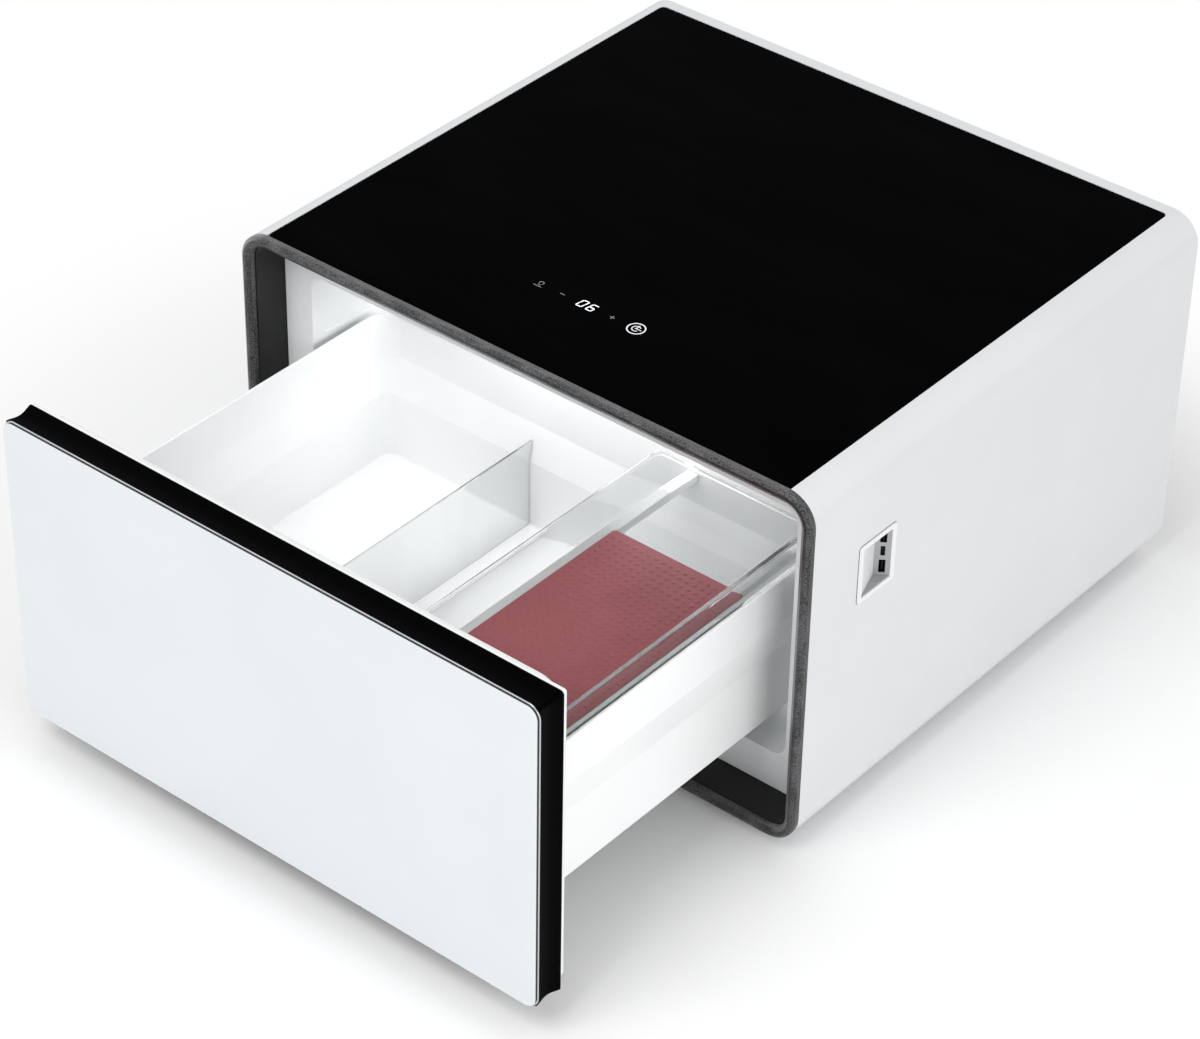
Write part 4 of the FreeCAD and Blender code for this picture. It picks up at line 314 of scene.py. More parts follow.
class Paint:
    """The finishes of the nightstand."""

    SHELL = Finish(
        "shell_white", (221, 222, 224), (217, 219, 222), 0.24, coat=0.25, grain=Grain.ENAMEL,
        size=3.0, relief=0.012,
    )
    LINER = Finish(
        "liner_white", (242, 243, 244), (238, 240, 241), 0.42, grain=Grain.ENAMEL, size=1.6, relief=0.02
    )
    TUB = Finish(
        "tub_white", (249, 250, 250), (246, 247, 248), 0.34, grain=Grain.ENAMEL, size=1.2, relief=0.015
    )
    GLASS_TOP = Finish(
        "top_black_glass", (1, 1, 1), (3, 3, 3), 0.05, 0.03, specular=0.004, grain=Grain.POLISHED,
        size=9.0, relief=0.001,
    )
    FRONT_GLASS = Finish(
        "front_white_glass", (221, 226, 229), (218, 223, 226), 0.07, 0.03, coat=0.5,
        grain=Grain.POLISHED, size=9.0, relief=0.001,
    )
    # the accent colour is a painted highlight on the bevels that face left and up, and the colour of the
    # specks and streaks
    TRIM = Finish(
        "trim_grey_metal", (40, 40, 41), (164, 164, 166), 0.38, 0.1, metallic=0.7,
        grain=Grain.FACETED, size=1.3, relief=0.02,
    )
    BEAD = Finish(
        "bead_silver", (212, 213, 216), (184, 186, 190), 0.25, metallic=1.0, grain=Grain.BRUSHED,
        size=0.5, relief=0.004,
    )
    RECESS = Finish("black_plastic", (22, 22, 22), (18, 18, 19), 0.5, specular=0.3, size=0.9, relief=0.03)
    FRAME = Finish("black_plastic", (2, 2, 2), (1, 1, 1), 0.42, specular=0.01, size=0.7, relief=0.02)
    PLASTIC = Finish("black_plastic", (22, 22, 23), (15, 15, 16), 0.5, size=0.7, relief=0.02)
    FOAM = Finish(
        "foam", (228, 214, 168), (200, 182, 130), 0.9, specular=0.2, grain=Grain.PORES, size=1.6, relief=0.4
    )
    ZINC = Finish(
        "galvanised", (176, 179, 182), (146, 150, 154), 0.4, 0.16, metallic=0.9, grain=Grain.SPANGLE,
        size=9.0, relief=0.004,
    )
    SCREW = Finish(
        "screw_steel", (170, 171, 174), (128, 129, 132), 0.32, 0.1, metallic=1.0, grain=Grain.BRUSHED,
        size=0.4, relief=0.004,
    )
    RUBBER = Finish("black_rubber", (26, 26, 26), (19, 19, 19), 0.72, specular=0.3, size=0.5, relief=0.03)
    # painted reflection: a dark sheet behind the white glass, whose rim stands for the dark reflection that
    # a thick glass edge shows
    SEAL = Finish("front_white_glass", (52, 54, 56), (40, 42, 44), 0.4)
    GASKET = Finish("gasket_grey", (236, 236, 234), (228, 228, 226), 0.55, size=0.6, relief=0.02)
    COPPER = Finish(
        "copper", (190, 112, 76), (146, 78, 50), 0.3, 0.2, metallic=1.0, grain=Grain.MOTTLED, size=2.0
    )
    COIL = Finish(
        "coil_copper", (186, 106, 70), (96, 48, 30), 0.3, metallic=0.9, grain=Grain.WINDING,
        size=1.0, relief=0.2,
    )
    BOARD = Finish(
        "circuit_board", (14, 74, 40), (40, 112, 66), 0.3, coat=0.4, grain=Grain.BOARD,
        size=3.2, relief=0.03,
    )
    CLEAR = Finish(
        "clear_plastic", (232, 233, 233), (228, 229, 229), 0.03, 0.02, transmission=1.0, ior=1.13,
        grain=Grain.POLISHED, size=14.0,
    )
    MAT = Finish("mat_red", (150, 84, 88), (134, 72, 76), 0.55, specular=0.3, size=1.1, relief=0.03)
    BEZEL = Finish(
        "socket_white", (238, 238, 239), (233, 233, 235), 0.22, coat=0.3, grain=Grain.ENAMEL, size=1.2
    )
    # painted shadow: a dark ring that stands for the shade in the gap round the socket's bezel
    SEAM = Finish("socket_white", (122, 123, 126), (104, 105, 108), 0.5, size=0.6)
    CUP = Finish("socket_grey", (230, 231, 233), (224, 225, 227), 0.4, size=0.6, relief=0.012)
    PORTS = Finish("port_grey", (170, 171, 173), (160, 161, 163), 0.42, size=0.6, relief=0.015)
    # partly painted shade: the port inserts are steel, dark all over so that their openings look as dark as
    # the shade inside them
    PORT_STEEL = Finish(
        "port_steel", (34, 34, 36), (22, 22, 24), 0.35, metallic=0.8, grain=Grain.BRUSHED,
        size=0.3, relief=0.003,
    )
    ENAMEL = Finish(
        "compressor_black", (20, 20, 21), (14, 14, 15), 0.3, coat=0.4, grain=Grain.ENAMEL,
        size=2.4, relief=0.03,
    )
    CONDENSER = Finish("condenser_black", (40, 40, 42), (28, 28, 30), 0.45, metallic=0.4, size=1.0)
    ALUMINIUM = Finish(
        "evaporator_aluminium", (196, 198, 200), (168, 170, 173), 0.38, metallic=1.0,
        grain=Grain.BRUSHED, size=0.6, relief=0.004,
    )
    GREY = Finish("grey_plastic", (104, 106, 109), (92, 94, 97), 0.5, relief=0.02)
    LAMP = Finish("lamp_diffuser", (240, 240, 232), (232, 232, 222), 0.5, glow=0.15, size=1.5, relief=0.02)
    DIGITS = Finish("legend_white", (252, 254, 255), (240, 246, 252), 0.4, glow=1.0, size=0.3, relief=0.0)
    RING = Finish("legend_white", (206, 208, 210), (190, 192, 195), 0.4, glow=0.8, size=0.3, relief=0.0)
    ICONS = Finish("legend_white", (132, 134, 137), (112, 114, 117), 0.4, glow=0.4, size=0.3, relief=0.0)


# shapes


class Plane(Enum):
    """The plane that an outline is drawn in."""

    FRONT = "x and z, stacked along y"
    TOP = "x and y, stacked along z"

    def place(self, across: float, up: float, depth: float) -> Place:
        """Return the place of an outline's point at a depth along the third axis."""
        return (across, depth, up) if self is Plane.FRONT else (across, up, depth)


class Side(Enum):
    """The side of a box that a ring is laid on."""

    FRONT = "towards -y"
    RIGHT = "towards +x"


@dataclass(frozen=True)
class Box:
    """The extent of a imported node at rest."""

    left: float
    right: float
    front: float
    back: float
    low: float
    high: float

    @classmethod
    def of(cls, node: str) -> "Box":
        """Return the extent of a node."""
        low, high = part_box(node)
        return cls(low.x, high.x, low.y, high.y, low.z, high.z)

    @property
    def size(self) -> Place:
        """Return its width, depth and height."""
        return self.right - self.left, self.back - self.front, self.high - self.low

    @property
    def middle(self) -> Place:
        """Return its centre."""
        return (self.left + self.right) / 2, (self.front + self.back) / 2, (self.low + self.high) / 2

    def outline(self, plane: Plane, inset: float, radius: float) -> list[Point]:
        """Return its outline in a plane, inset on every side, with rounded corners."""
        low, high = (self.low, self.high) if plane is Plane.FRONT else (self.front, self.back)
        return rounded(self.left + inset, self.right - inset, low + inset, high - inset, [radius] * 4)


def arc(start: float, end: float, steps: int) -> list[float]:
    """Return angles from start to end degrees, in radians, both ends included."""
    return [math.radians(start + (end - start) * step / steps) for step in range(steps + 1)]


def circle(count: int) -> list[float]:
    """Return a number of angles that divide a whole turn, in radians."""
    return arc(0, 360 * (count - 1) / count, count - 1)


def around(reach: float, turns: Sequence[float], x: float = 0.0, y: float = 0.0) -> list[Point]:
    """Return the points at a distance from x, y at each angle."""
    return [(x + reach * math.cos(turn), y + reach * math.sin(turn)) for turn in turns]


def rounding(radius: float, start: float, end: float, steps: int) -> list[Point]:
    """Return a rounding between two sides, from one angle to another, as distances from each side."""
    return [(radius - across, radius - up) for across, up in around(radius, arc(start, end, steps))]


def rounded(
    left: float, right: float, low: float, high: float, radii: Sequence[float], steps: int = 10
) -> list[Point]:
    """Return a rectangle with rounded corners.

    Args:
        left: lowest value across.
        right: highest value across.
        low: lowest value up.
        high: highest value up.
        radii: each corner's radius, from the lower right corner on, anticlockwise.
        steps: segments of a corner.

    Returns:
        Its points, anticlockwise, steps + 1 to a corner.
    """
    corners = ((right, low, -1, 1), (right, high, -1, -1), (left, high, 1, -1), (left, low, 1, 1))
    points = []
    for index, ((x, y, to_x, to_y), radius) in enumerate(zip(corners, radii)):
        radius = max(radius, LEAST_RADIUS)
        turns = arc(90 * index - 90, 90 * index, steps)
        points += around(radius, turns, x + to_x * radius, y + to_y * radius)
    return points


def shade(mesh: bpy.types.Mesh, angle: float = SHARP, flat: bool = True) -> None:
    """Shade a mesh smooth, with its sharp edges sharp.

    Args:
        mesh: the mesh.
        angle: edges sharper than this stay sharp, in degrees.
        flat: whether the larger of two faces keeps its own normal along their edge.
    """
    mesh.polygons.foreach_set("use_smooth", [True] * len(mesh.polygons))
    mesh.set_sharp_from_angle(angle=math.radians(angle))
    if not flat:
        return
    facing = [face.normal.copy() for face in mesh.polygons]
    weighted = [face.normal * face.area for face in mesh.polygons]
    faces_at: list[list[int]] = [[] for _ in mesh.vertices]
    for face in mesh.polygons:
        for corner in face.vertices:
            faces_at[corner].append(face.index)
    limit = math.cos(math.radians(angle))
    normals = []
    for face in mesh.polygons:
        own = facing[face.index]
        for corner in face.vertices:
            near = [weighted[other] for other in faces_at[corner] if facing[other].dot(own) > limit]
            normals.append(sum(near, Vector()).normalized())
    mesh.normals_split_custom_set(normals)
    mesh.update()


def piece(name: str, mesh: bpy.types.Mesh, finish: Finish | None = None) -> bpy.types.Object:
    """Link a mesh as an object.

    Args:
        name: the object's name.
        mesh: the mesh.
        finish: its finish, if it gets one here.

    Returns:
        The object.
    """
    item = bpy.data.objects.new(name, mesh)
    bpy.context.scene.collection.objects.link(item)
    if finish:
        mesh.materials.clear()
        mesh.materials.append(finish.material())
    return item


def to_mesh(
    name: str, work: bmesh.types.BMesh, angle: float = SHARP, flat: bool = True, turned: bool = True
) -> bpy.types.Mesh:
    """Turn a work mesh into a shaded mesh.

    Args:
        name: the mesh's name.
        work: the work mesh, which is freed.
        angle: edges sharper than this stay sharp, in degrees.
        flat: whether large faces are shaded flat.
        turned: whether every face is turned outward first.

    Returns:
        The mesh.
    """
    if turned:
        bmesh.ops.recalc_face_normals(work, faces=work.faces)
    mesh = bpy.data.meshes.new(name)
    work.to_mesh(mesh)
    work.free()
    shade(mesh, angle, flat)
    return mesh


def skin(work: bmesh.types.BMesh, rows: Sequence[Sequence[Place]], closed: bool = False) -> None:
    """Skin a solid over rows of points.

    Args:
        work: the work mesh that gets the faces.
        rows: the rows, all with as many points.
        closed: whether the last row joins the first; both are capped if not.
    """
    loops = [[work.verts.new(place) for place in row] for row in rows]
    for here, after in zip(loops, loops[1:] + loops[:1] if closed else loops[1:]):
        for index in range(len(here)):
            work.faces.new((here[index - 1], here[index], after[index], after[index - 1]))
    if not closed:
        work.faces.new(loops[0])
        work.faces.new(loops[-1])


def loft(
    name: str, plane: Plane, rings: Sequence[Ring], angle: float = SHARP, flat: bool = True
) -> bpy.types.Mesh:
    """Skin a closed solid over rings in a plane, each with its depth; the last two as in to_mesh."""
    work = bmesh.new()
    skin(work, [[plane.place(*point, depth) for point in points] for depth, points in rings])
    return to_mesh(name, work, angle, flat)


def softened(node: str, edge: float) -> bpy.types.Mesh:
    """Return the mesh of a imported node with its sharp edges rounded.

    Args:
        node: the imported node.
        edge: width of the rounding, in millimetres.

    Returns:
        The new mesh.
    """
    work = bmesh.new()
    work.from_mesh(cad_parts[node].data)
    bmesh.ops.remove_doubles(work, verts=work.verts, dist=WELD)
    bmesh.ops.dissolve_limit(
        work, angle_limit=COPLANAR, verts=work.verts, edges=work.edges, delimit={"NORMAL"}
    )
    sharp = [item for item in work.edges if item.is_manifold and item.calc_face_angle(0) > BEVELLED]
    bmesh.ops.bevel(
        work, geom=sharp, offset=edge * MM, segments=2, profile=0.5, affect="EDGES", clamp_overlap=True
    )
    return to_mesh(node, work, turned=False)


def screw(head: float, length: float) -> bpy.types.Mesh:
    """Return a pan-head screw with a cross recess.

    Args:
        head: the head's radius; the shank's is half of it.
        length: length of the shank, below the origin.

    Returns:
        The mesh, its head towards +Z.
    """
    turns = circle(24)
    shank = head / 2

    def cross(reach: float) -> list[Point]:
        """Return the outline of a cross.

        Args:
            reach: how far its arms reach.

        Returns:
            As many points as there are turns.
        """
        half = reach * math.tan(CROSS_ARM)
        points = []
        for turn in turns:
            off = abs((turn + math.pi / 4) % (math.pi / 2) - math.pi / 4)
            far = reach / math.cos(off)
            if off > 0.01:
                far = min(far, half / math.sin(off))
            points += around(far, [turn])
        return points

    rings = [(shank * rise - length, around(shank * out, turns)) for rise, out in SHANK_END]
    rings.append((0.0, around(shank, turns)))
    rings += [(SCREW_HEAD * rise, around(head * out, turns)) for rise, out in HEAD_DOME]
    rings += [(SCREW_HEAD * rise, cross(head * out)) for rise, out in HEAD_CROSS]
    return loft("screw", Plane.TOP, rings, 40.0)


# Geometry Nodes


def evaluate(item: bpy.types.Object, tree: bpy.types.NodeTree, inputs: dict[str, object]) -> bpy.types.Mesh:
    """Run Geometry Nodes on an object.

    Args:
        item: the object that the tree starts from; it is removed.
        tree: the tree.
        inputs: values of the tree's named inputs.

    Returns:
        The result as a plain mesh.
    """
    modifier = item.modifiers.new("Shape", "NODES")
    modifier.node_group = tree
    for socket in tree.interface.items_tree:
        if socket.in_out == "INPUT" and socket.name in inputs:
            modifier[socket.identifier] = inputs[socket.name]
    graph = bpy.context.evaluated_depsgraph_get()
    mesh = bpy.data.meshes.new_from_object(item.evaluated_get(graph))
    item.modifiers.remove(modifier)
    bpy.data.objects.remove(item)
    return mesh


def geometry_tree(name: str, inputs: dict[str, str]) -> tuple[Graph, Value]:
    """Start a Geometry Nodes tree.

    Args:
        name: the tree's name.
        inputs: its inputs and their socket types, beside the geometry and the material.

    Returns:
        The graph, and the group input's geometry.
    """
    tree = bpy.data.node_groups.new(name, "GeometryNodeTree")
    kinds = {"Geometry": "NodeSocketGeometry", **inputs, "Material": "NodeSocketMaterial"}
    for title, kind in kinds.items():
        tree.interface.new_socket(title, in_out="INPUT", socket_type=kind)
    tree.interface.new_socket("Geometry", in_out="OUTPUT", socket_type="NodeSocketGeometry")
    graph = Graph(tree)
    return graph, graph.node("NodeGroupInput", output="Geometry")


def close_tree(graph: Graph, shape: Value, source: Value) -> bpy.types.NodeTree:
    """End a tree in real geometry with its material set.

    Args:
        graph: the tree's graph.
        shape: the geometry made so far.
        source: the group input.

    Returns:
        The tree.
    """
    real = graph.node("GeometryNodeRealizeInstances", {"Geometry": shape})
    values = {"Geometry": real, "Material": source.other("Material")}
    graph.node("NodeGroupOutput", {0: graph.node("GeometryNodeSetMaterial", values)})
    return graph.tree


def sweep_tree() -> bpy.types.NodeTree:
    """Return the tree that carries a profile round a rounded rectangle."""
    kinds = dict.fromkeys(("Width", "Height", "Radius"), "NodeSocketFloat")
    graph, source = geometry_tree("swept_frame", kinds)
    sides = {name: source.other(name) for name in ("Width", "Height")}
    rectangle = graph.node("GeometryNodeCurvePrimitiveQuadrilateral", sides)
    corners = {"Curve": rectangle, "Count": 16, "Radius": source.other("Radius")}
    path = graph.node("GeometryNodeFilletCurve", corners, mode="POLY")
    upright = graph.node("GeometryNodeSetCurveNormal", {"Curve": path}, mode="Z_UP")
    profile = graph.node("GeometryNodeMeshToCurve", {"Mesh": source})
    skinned = {"Curve": upright, "Profile Curve": profile}
    return close_tree(graph, graph.node("GeometryNodeCurveToMesh", skinned), source)


def scatter_tree() -> bpy.types.NodeTree:
    """Return the tree that sets a copy of an object on each point, all turned alike."""
    kinds = {"Copy": "NodeSocketObject", "Turn": "NodeSocketRotation"}
    graph, source = geometry_tree("set_on_points", kinds)
    copy = graph.node("GeometryNodeObjectInfo", {"Object": source.other("Copy")}, "Geometry")
    values = {"Points": source, "Instance": copy, "Rotation": source.other("Turn")}
    return close_tree(graph, graph.node("GeometryNodeInstanceOnPoints", values), source)


# sub-assemblies


@dataclass
class Assembly:
    """A part of the nightstand that dresses its own nodes, whose new pieces ride on its body.

    All share the two trees that sweep a profile and that scatter copies.
    """

    sweep: bpy.types.NodeTree
    scatter: bpy.types.NodeTree
    body: str = "cabinet"

    def build(self) -> None:
        """Build and dress every piece of the sub-assembly."""
        raise NotImplementedError

    def keep(self, finish: Finish, *nodes: str) -> None:
        """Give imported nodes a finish, with their shape as it is.

        Args:
            finish: the finish.
            nodes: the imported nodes.
        """
        for name in nodes:
            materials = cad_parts[name].data.materials
            for index in range(len(materials)):
                materials[index] = finish.material()
            if not materials:
                materials.append(finish.material())
            LOG.info("kept %s as %s", name, finish.slot)

    def set_in(self, name: str, mesh: bpy.types.Mesh, finish: Finish, *nodes: str) -> None:
        """Make a piece of a mesh and let it ride on the body.

        Args:
            name: the piece's name.
            mesh: its mesh.
            finish: its finish, which names its slot.
            nodes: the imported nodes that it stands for.
        """
        item = piece(name, mesh, finish)
        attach(item, self.body)
        if nodes:
            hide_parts(*nodes)
        LOG.info("%s: %d faces on %s", name, len(mesh.polygons), self.body)

    def soften(self, edge: float, finish: Finish, *nodes: str) -> None:
        """Replace nodes by copies with rounded edges, in millimetres."""
        for node in nodes:
            self.set_in(f"{node}_soft", softened(node, edge), finish, node)

    def stack(
        self,
        name: str,
        plane: Plane,
        sections: Sequence[Section],
        finish: Finish,
        node: str,
        angle: float = SHARP,
    ) -> None:
        """Replace a node by a solid skinned over its rounded outlines.

        Args:
            name: the piece's name.
            plane: the plane of the outlines.
            sections: each outline's depth, inset and corner radius.
            finish: the piece's finish.
            node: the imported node.
            angle: edges sharper than this stay sharp, in degrees.
        """
        box = Box.of(node)
        rings = [(depth, box.outline(plane, inset, radius)) for depth, inset, radius in sections]
        self.set_in(name, loft(name, plane, rings, angle), finish, node)

    def ring(
        self,
        name: str,
        side: Side,
        box: Box,
        profile: Sequence[Point],
        radius: float,
        finish: Finish,
        *nodes: str,
    ) -> None:
        """Carry a profile round the outline of a box's side.

        Args:
            name: the piece's name.
            side: the side.
            box: the box.
            profile: points as reach outside the outline and depth below the side.
            radius: the outline's corner radius.
            finish: the piece's finish.
            nodes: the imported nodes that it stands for.
        """
        wide, deep, tall = box.size
        x, y, z = box.middle
        if side is Side.FRONT:
            width, start, turn = wide, (x, box.front, z), Matrix.Rotation(math.pi / 2, 4, "X")
        else:
            width, start, turn = deep, (box.right, y, z), Matrix(((0, 0, 1), (1, 0, 0), (0, 1, 0))).to_4x4()
        mesh = bpy.data.meshes.new(f"{name}_profile")
        links = [(index, (index + 1) % len(profile)) for index in range(len(profile))]
        mesh.from_pydata([(out, depth, 0.0) for out, depth in profile], links, [])
        inputs = {"Width": width, "Height": tall, "Radius": radius, "Material": finish.material()}
        result = evaluate(piece(f"{name}_profile", mesh), self.sweep, inputs)
        result.transform(Matrix.Translation(Vector(start)) @ turn)
        work = bmesh.new()
        work.from_mesh(result)
        bpy.data.meshes.remove(result)
        self.set_in(name, to_mesh(name, work), finish, *nodes)

    def repeat(
        self,
        name: str,
        copy: bpy.types.Mesh,
        places: Sequence[Place],
        turn: Place,
        finish: Finish,
        node: str,
    ) -> None:
        """Set copies of a mesh on points.

        Args:
            name: the piece's name.
            copy: the mesh to repeat, about its own origin.
            places: the points.
            turn: turn of each copy about X, Y and Z, in radians.
            finish: the piece's finish.
            node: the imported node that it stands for.
        """
        points = bpy.data.meshes.new(f"{name}_points")
        points.from_pydata(places, [], [])
        source = piece(f"{name}_copy", copy)
        inputs = {"Copy": source, "Turn": turn, "Material": finish.material()}
        result = evaluate(piece(f"{name}_points", points), self.scatter, inputs)
        bpy.data.objects.remove(source)
        shade(result)
        self.set_in(name, result, finish, node)


@dataclass
class CabinetShell(Assembly):
    """White shell with its base plate, insulation and deck."""

    edge: float = 0.7
    tray_edge: float = 0.3

    def build(self) -> None:
        """Round the shell's edges and dress what it holds."""
        self.soften(self.edge, Paint.SHELL, "outer_shell")
        self.soften(self.tray_edge, Paint.ZINC, "machine_tray")
        self.keep(Paint.FOAM, "insulation_foam")
        self.keep(Paint.ZINC, "top_deck")


@dataclass(frozen=True)
class Strokes:
    """Flat strokes of a legend, in millimetres.

    A bar is its two ends and its width.  A ring is its centre, radius and width, and the angles in
    degrees that it starts and ends at.
    """

    bars: Sequence[tuple[Point, Point, float]]
    rings: Sequence[tuple[Point, float, float, float, float]] = ()
    slant: float = 0.0

    def mesh(self, name: str, box: Box, centre: Point) -> bpy.types.Mesh:
        """Draw the strokes.

        Args:
            name: the mesh's name.
            box: the box whose height they fill.
            centre: what they are drawn about.

        Returns:
            The mesh.
        """
        work = bmesh.new()

        def place(x: float, y: float, z: float) -> Place:
            """Return the place of a point of the drawing at a height."""
            return centre[0] + (x + self.slant * y) * MM, centre[1] + y * MM, z

        for start, end, width in self.bars:
            first, last = Vector(start), Vector(end)
            tip = (last - first).normalized() * width / 2
            side = Vector((-tip.y, tip.x))
            corners = (first - tip, first - side, last - side, last + tip, last + side, first + side)
            skin(work, [[place(*corner, z) for corner in corners] for z in (box.low, box.high)])
        for middle, radius, width, start, end in self.rings:
            inner = radius - width
            section = ((radius, box.low), (radius, box.high), (inner, box.high), (inner, box.low))
            rows = [
                [place(*around(reach, [turn], *middle)[0], z) for reach, z in section]
                for turn in arc(start, end, LEGEND_STEPS)
            ]
            closed = end - start == 360
            skin(work, rows[:-1] if closed else rows, closed)
        return to_mesh(name, work)


RING_ICON = Strokes(
    [((54.3, 0.0), (60.9, 0.0), 0.9), ((55.5, 0.8), (55.5, 5.6), 0.9)],
    [((55.5, 0.0), 8.9, 1.2, 0, 360), ((55.5, 0.0), 4.4, 0.9, 40, 320)],
)
SMALL_ICONS = Strokes(
    [
        ((-30.8, 0.0), (-26.2, 0.0), 0.8),
        ((26.2, 0.0), (30.8, 0.0), 0.8),
        ((28.5, -2.3), (28.5, 2.3), 0.8),
        ((-55.4, -1.8), (-52.6, -1.8), 0.7),
        ((-58.6, -4.2), (-50.0, -4.2), 0.7),
    ],
    [((-54.0, 1.6), 2.6, 0.7, -50, 230)],
)


@dataclass
class GlassTop(Assembly):
    """Black glass top, its lit legend, and the boards and coil below it."""

    corner: float = 6 * MM
    bevel: float = 0.8 * MM
    bevel_knee: float = 0.35
    lower_bevel: float = 0.4 * MM
    sunk: float = 0.06 * MM
    legend_across: float = -5.2 * MM
    legend_behind: float = 2.8 * MM
    digit_pitch: float = 5.4
    digit_width: float = 7.0
    digit_height: float = 11.0
    digit_slant: float = 0.2
    digit_gap: float = 0.62
    stroke: float = 1.0

    def build(self) -> None:
        """Build the glass and the legend, and dress the rest."""
        self.plate()
        self.legend()
        x, y, _ = Box.of("charging_coil").middle
        self.keep(replace(Paint.COIL, centre=(x, y, 0.0)), "charging_coil")
        self.keep(Paint.BOARD, "top_boards")

    def plate(self) -> None:
        """Build the glass with its polished bevel."""
        box = Box.of("top_glass")
        top = box.high - self.sunk
        knee = self.bevel * self.bevel_knee
        small = self.corner - self.bevel
        sections = (
            (box.low, self.lower_bevel, self.corner),
            (box.low + self.lower_bevel, 0.0, self.corner),
            (top - self.bevel, 0.0, self.corner),
            (top - knee, knee, small),
            (top, self.bevel, small),
        )
        self.stack("glass_top", Plane.TOP, sections, Paint.GLASS_TOP, "top_glass", 60.0)

    def legend(self) -> None:
        """Build the digits, and the ring and the small icons beside them."""
        box = Box.of("display_legend")
        centre = (self.legend_across, box.middle[1] + self.legend_behind)
        drawings = (
            ("display_digits", self.digits(), Paint.DIGITS),
            ("display_ring", RING_ICON, Paint.RING),
            ("display_icons", SMALL_ICONS, Paint.ICONS),
        )
        for name, strokes, finish in drawings:
            self.set_in(name, strokes.mesh(name, box, centre), finish, "display_legend")

    def digits(self) -> Strokes:
        """Return the strokes of both seven-segment digits."""
        half = (self.digit_width - self.stroke) / 2
        rise = (self.digit_height - self.stroke) / 2
        gap = self.digit_gap * self.stroke
        ends = {
            "a": (gap - half, rise, half - gap, rise),
            "g": (gap - half, 0.0, half - gap, 0.0),
            "d": (gap - half, -rise, half - gap, -rise),
            "f": (-half, gap, -half, rise - gap),
            "b": (half, gap, half, rise - gap),
            "e": (-half, gap - rise, -half, -gap),
            "c": (half, gap - rise, half, -gap),
        }
        bars = []
        for middle, segments in ((-self.digit_pitch, "abcdef"), (self.digit_pitch, "acdefg")):
            for x, y, to_x, to_y in (ends[segment] for segment in segments):
                bars.append(((middle + x, y), (middle + to_x, to_y), self.stroke))
        return Strokes(bars, slant=self.digit_slant)


@dataclass
class FrontTrim(Assembly):
    """Metal ring round the opening, and the black surround behind it."""

    border: float = 11 * MM
    radius: float = 30 * MM
    edge: float = 1.0 * MM
    outer: float = 3.4 * MM
    lip: float = 4.2 * MM
    fall: float = 2.6 * MM
    recess_edge: float = 0.3

    def build(self) -> None:
        """Carry the trim's section round the opening, and soften the surround."""
        box = Box.of("front_trim")
        deep, edge, fall = box.size[1], self.edge, self.fall

        def flank(bevel: float) -> list[Point]:
            """Return half of the section, from the back to the face.

            Args:
                bevel: the bevel's width.

            Returns:
                Each point's distance from its side, and its depth.
            """
            return [
                (0.0, deep),
                (0.0, fall + edge),
                (0.15 * edge, fall + 0.3 * edge),
                (0.45 * edge, fall - 0.2 * edge),
                (bevel, 0.15 * edge),
                (bevel + 0.4 * edge, 0.0),
            ]

        profile = [(-reach, depth) for reach, depth in flank(self.outer)]
        profile += [(reach - self.border, depth) for reach, depth in reversed(flank(self.lip))]
        self.ring("trim_ring", Side.FRONT, box, profile, self.radius, Paint.TRIM, "front_trim")
        self.soften(self.recess_edge, Paint.RECESS, "recess_surround")


@dataclass
class ColdCavity(Assembly):
    """White liner with its lamp and sensor, and the evaporator behind it."""

    edge: float = 0.5
    lamp_edge: float = 0.6

    def build(self) -> None:
        """Soften the liner and dress the fittings."""
        self.soften(self.edge, Paint.LINER, "inner_liner")
        self.soften(self.lamp_edge, Paint.LAMP, "interior_lamp")
        self.keep(Paint.LINER, "temperature_sensor")
        self.keep(Paint.ALUMINIUM, "evaporator_plate")


@dataclass
class SidePort(Assembly):
    """Socket in the right side: bezel, cup, sloping plate and three ports."""

    edge: float = 0.45
    plate_edge: float = 0.12
    corner: float = 4 * MM
    seam: float = 0.45 * MM
    overlap: float = 0.2 * MM
    seam_depth: float = 0.25 * MM
    seam_edge: float = 0.12 * MM

    def build(self) -> None:
        """Soften the bezel, draw a dark ring round it as painted shadow in the gap, and dress the rest."""
        self.soften(self.edge, Paint.BEZEL, "socket_bezel")
        box = Box.of("socket_bezel")
        deep, seam, inner = box.size[0], self.seam, -self.overlap
        line = [(inner, deep - self.seam_depth), (seam, deep - self.seam_edge), (seam, deep), (inner, deep)]
        # painted shadow in the gap round the bezel, drawn as a thin dark ring
        self.ring("socket_seam", Side.RIGHT, box, line, self.corner, Paint.SEAM)
        self.soften(self.plate_edge, Paint.PORTS, "port_plate")
        self.keep(Paint.CUP, "socket_cup")
        # the dark inserts paint the shade inside the ports
        self.keep(Paint.PORT_STEEL, "usb_a_port", "usb_c_port", "usb_top_port")
        self.keep(Paint.BOARD, "socket_board")


